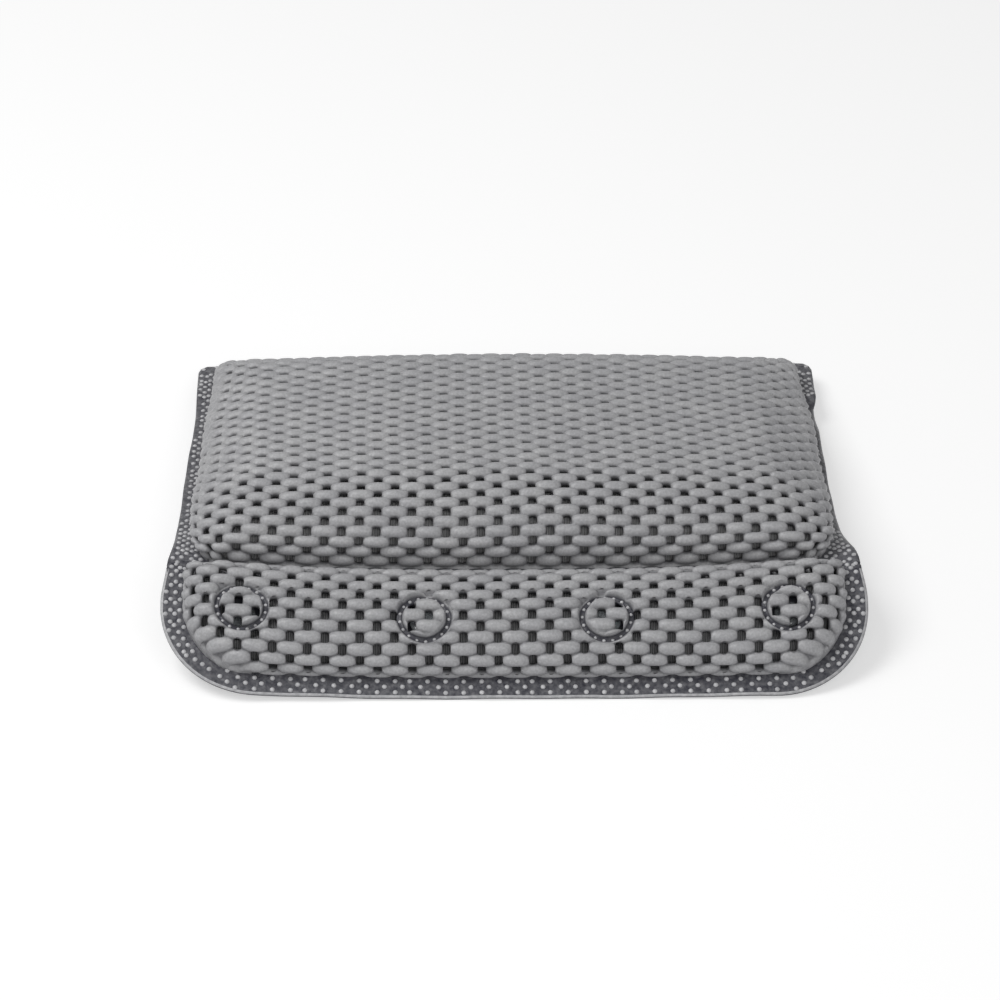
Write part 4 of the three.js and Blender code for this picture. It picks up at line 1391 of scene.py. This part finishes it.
def make_cup(number):
    """Moulded suction cup: hollow cup, neck through the well and a head that holds it."""
    centre_x, centre_reach, lip = CUP_PLACES[number]
    head_top = flap_height(centre_x, centre_reach) - HEAD_DEPTH
    head_bottom = head_top - HEAD_HEIGHT
    share = np.linspace(0, 1, CUP_STEPS)
    radii = CUP_SHOULDER + (CUP_RADIUS - CUP_SHOULDER) * share
    heights = CUP_WAIST + (lip + CUP_LIP - CUP_WAIST) * share**CUP_CURVE
    outside = list(zip(radii, heights))
    inside = list(zip(radii - 0.8, heights - CUP_WALL * (1 - CUP_THINNING * share)))
    profile = [(0, CUP_WAIST - 0.2), (4, CUP_WAIST - 0.4), (7.5, CUP_WAIST - 0.9)]
    profile += inside[:-1] + [(CUP_RADIUS - 0.9, lip), (CUP_RADIUS - 0.2, lip), (CUP_RADIUS, lip + 0.35)]
    profile += outside[::-1]
    profile += [(9.6, CUP_WAIST + 1.0), (8.6, CUP_WAIST + 2.2)]
    profile += [(6.4, 0.6), (4.8, 2.6), (3.8, 4.2), (3.5, 5.2)]
    profile += [(3.5, head_bottom), (5.9, head_bottom), (6.5, head_bottom + 0.5), (6.5, head_top - 0.9)]
    profile += [(5.9, head_top - 0.25), (4.9, head_top), (0, head_top)]
    points, faces = lathe_body(profile, ROUND_STEPS)
    points = flap_frame(points + np.array([centre_x, -centre_reach, 0]))
    return mesh_object(f"cup_{number}_clear", points, faces, [CLEAR])


# Pieces, the body that each unbent one rides on and the nodes that it stands for


def settle(piece, body, nodes, bends=False):
    """Let a piece ride on its body, or, where bends is true, only bake its place into its mesh."""
    if bends:
        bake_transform(piece)
    else:
        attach(piece, body)
    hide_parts(*nodes)


cushion_net, cushion_under = make_cushion_panels()
settle(cushion_net, "cushion", ["cushion_cover"])
settle(cushion_under, "cushion", ["cushion_backing"])
settle(make_cushion_lining(), "cushion", ["foam_core"])
settle(make_cushion_flange(), "cushion", ["cushion_edge_weld"])
discs = [f"pocket_disc_{number}" for number in RINGS]
settle(make_flap_net(), "flap", ["flap_cover", *discs], bends=True)
settle(make_flap_under_net(), "flap", ["flap_backing"], bends=True)
settle(make_flap_lining(), "flap", ["flap_pad"], bends=True)
settle(make_flap_flange(), "flap", ["flap_edge_weld"], bends=True)
settle(make_hinge_strip(), "cushion", ["hinge_weld"], bends=True)
for number in RINGS:
    settle(make_ring(number), "flap", [f"ring_weld_{number}"])
    settle(make_cup(number), f"cup_{number}", [f"suction_cup_{number}"])

# Floor, light and camera

CAMERA_ELEVATION = math.radians(33)
CAMERA_AZIMUTH = math.radians(-1.2)
CAMERA_ROLL = math.radians(0.4)
FOCAL_PIXELS = 4100.0
IMAGE_PIXELS = 1000.0
SENSOR = 36.0
HINGE_PIXEL = (514.0, 573.0)
PIXELS_PER_MM = 2.195
CAMERA_FAR = 50.0

FLOOR_HALF = 6.0
FLOOR_LIT = (0.86, 0.86, 0.87, 1)
FLOOR_SEEN = (0.61, 0.61, 0.61, 1)
FLOOR_GLOW = 0.51
WHITE = (1, 1, 1, 1)
WORLD_STRENGTH = 0.28
LIGHT_AIM = (0, 0, 0.03)


def make_camera():
    distance = FOCAL_PIXELS / PIXELS_PER_MM
    forward = Vector((
        -math.sin(CAMERA_AZIMUTH) * math.cos(CAMERA_ELEVATION),
        math.cos(CAMERA_AZIMUTH) * math.cos(CAMERA_ELEVATION),
        -math.sin(CAMERA_ELEVATION)))
    level = Vector((math.cos(CAMERA_AZIMUTH), math.sin(CAMERA_AZIMUTH), 0))
    right = level * math.cos(CAMERA_ROLL) + level.cross(forward) * math.sin(CAMERA_ROLL)
    up = right.cross(forward)
    middle = IMAGE_PIXELS / 2
    side = (HINGE_PIXEL[0] - middle) / PIXELS_PER_MM
    drop = (HINGE_PIXEL[1] - middle) / PIXELS_PER_MM
    hinge = Vector((0, HINGE_Y, HINGE_Z))
    place = hinge - forward * distance - right * side + up * drop
    data = bpy.data.cameras.new("camera")
    data.sensor_width = SENSOR
    data.lens = FOCAL_PIXELS / IMAGE_PIXELS * SENSOR
    data.clip_end = CAMERA_FAR
    thing = bpy.data.objects.new("camera", data)
    thing.location = place * MM
    thing.rotation_euler = Matrix((right, up, -forward)).transposed().to_euler()
    bpy.context.scene.collection.objects.link(thing)
    bpy.context.scene.camera = thing


def make_floor():
    """Pale floor: white to the camera and in reflections, with the object's shadow on it."""
    mesh = bpy.data.meshes.new("floor")
    corners = [(x * FLOOR_HALF, y * FLOOR_HALF, 0) for x, y in ((-1, -1), (1, -1), (1, 1), (-1, 1))]
    mesh.from_pydata(corners, [], [(0, 1, 2, 3)])
    floor = bpy.data.objects.new("floor", mesh)
    bpy.context.scene.collection.objects.link(floor)
    made = bpy.data.materials.new("floor")
    made.use_nodes = True
    nodes, links = made.node_tree.nodes, made.node_tree.links
    shader = nodes["Principled BSDF"]
    shader.inputs["Roughness"].default_value = 0.9
    shader.inputs["Specular IOR Level"].default_value = 0.0
    path = nodes.new("ShaderNodeLightPath")
    seen = path.outputs["Is Camera Ray"]
    for kind in ("Is Glossy Ray", "Is Transmission Ray"):
        either = nodes.new("ShaderNodeMath")
        either.operation = "MAXIMUM"
        links.new(seen, either.inputs[0])
        links.new(path.outputs[kind], either.inputs[1])
        seen = either.outputs[0]
    tone = nodes.new("ShaderNodeMix")
    tone.data_type = "RGBA"
    tone.inputs["A"].default_value = FLOOR_LIT
    tone.inputs["B"].default_value = FLOOR_SEEN
    links.new(seen, tone.inputs["Factor"])
    links.new(tone.outputs["Result"], shader.inputs["Base Color"])
    glow = nodes.new("ShaderNodeMath")
    glow.operation = "MULTIPLY"
    glow.inputs[1].default_value = FLOOR_GLOW
    links.new(seen, glow.inputs[0])
    shader.inputs["Emission Color"].default_value = WHITE
    links.new(glow.outputs[0], shader.inputs["Emission Strength"])
    floor.data.materials.append(made)


def area_light(name, place, size, power):
    data = bpy.data.lights.new(name, "AREA")
    data.shape = "RECTANGLE"
    data.size, data.size_y = size
    data.energy = power
    thing = bpy.data.objects.new(name, data)
    thing.location = place
    thing.rotation_euler = (Vector(LIGHT_AIM) - Vector(place)).to_track_quat("-Z", "Y").to_euler()
    bpy.context.scene.collection.objects.link(thing)


def make_light():
    world = bpy.data.worlds.new("world")
    world.use_nodes = True
    background = world.node_tree.nodes["Background"]
    background.inputs["Color"].default_value = WHITE
    background.inputs["Strength"].default_value = WORLD_STRENGTH
    bpy.context.scene.world = world
    area_light("key", place=(-0.85, -0.1, 1.5), size=(1.1, 0.9), power=15.5)
    area_light("fill", place=(0.3, -1.6, 1.3), size=(1.4, 1.0), power=9)


make_camera()
make_floor()
make_light()
bpy.context.scene.view_settings.view_transform = "Standard"
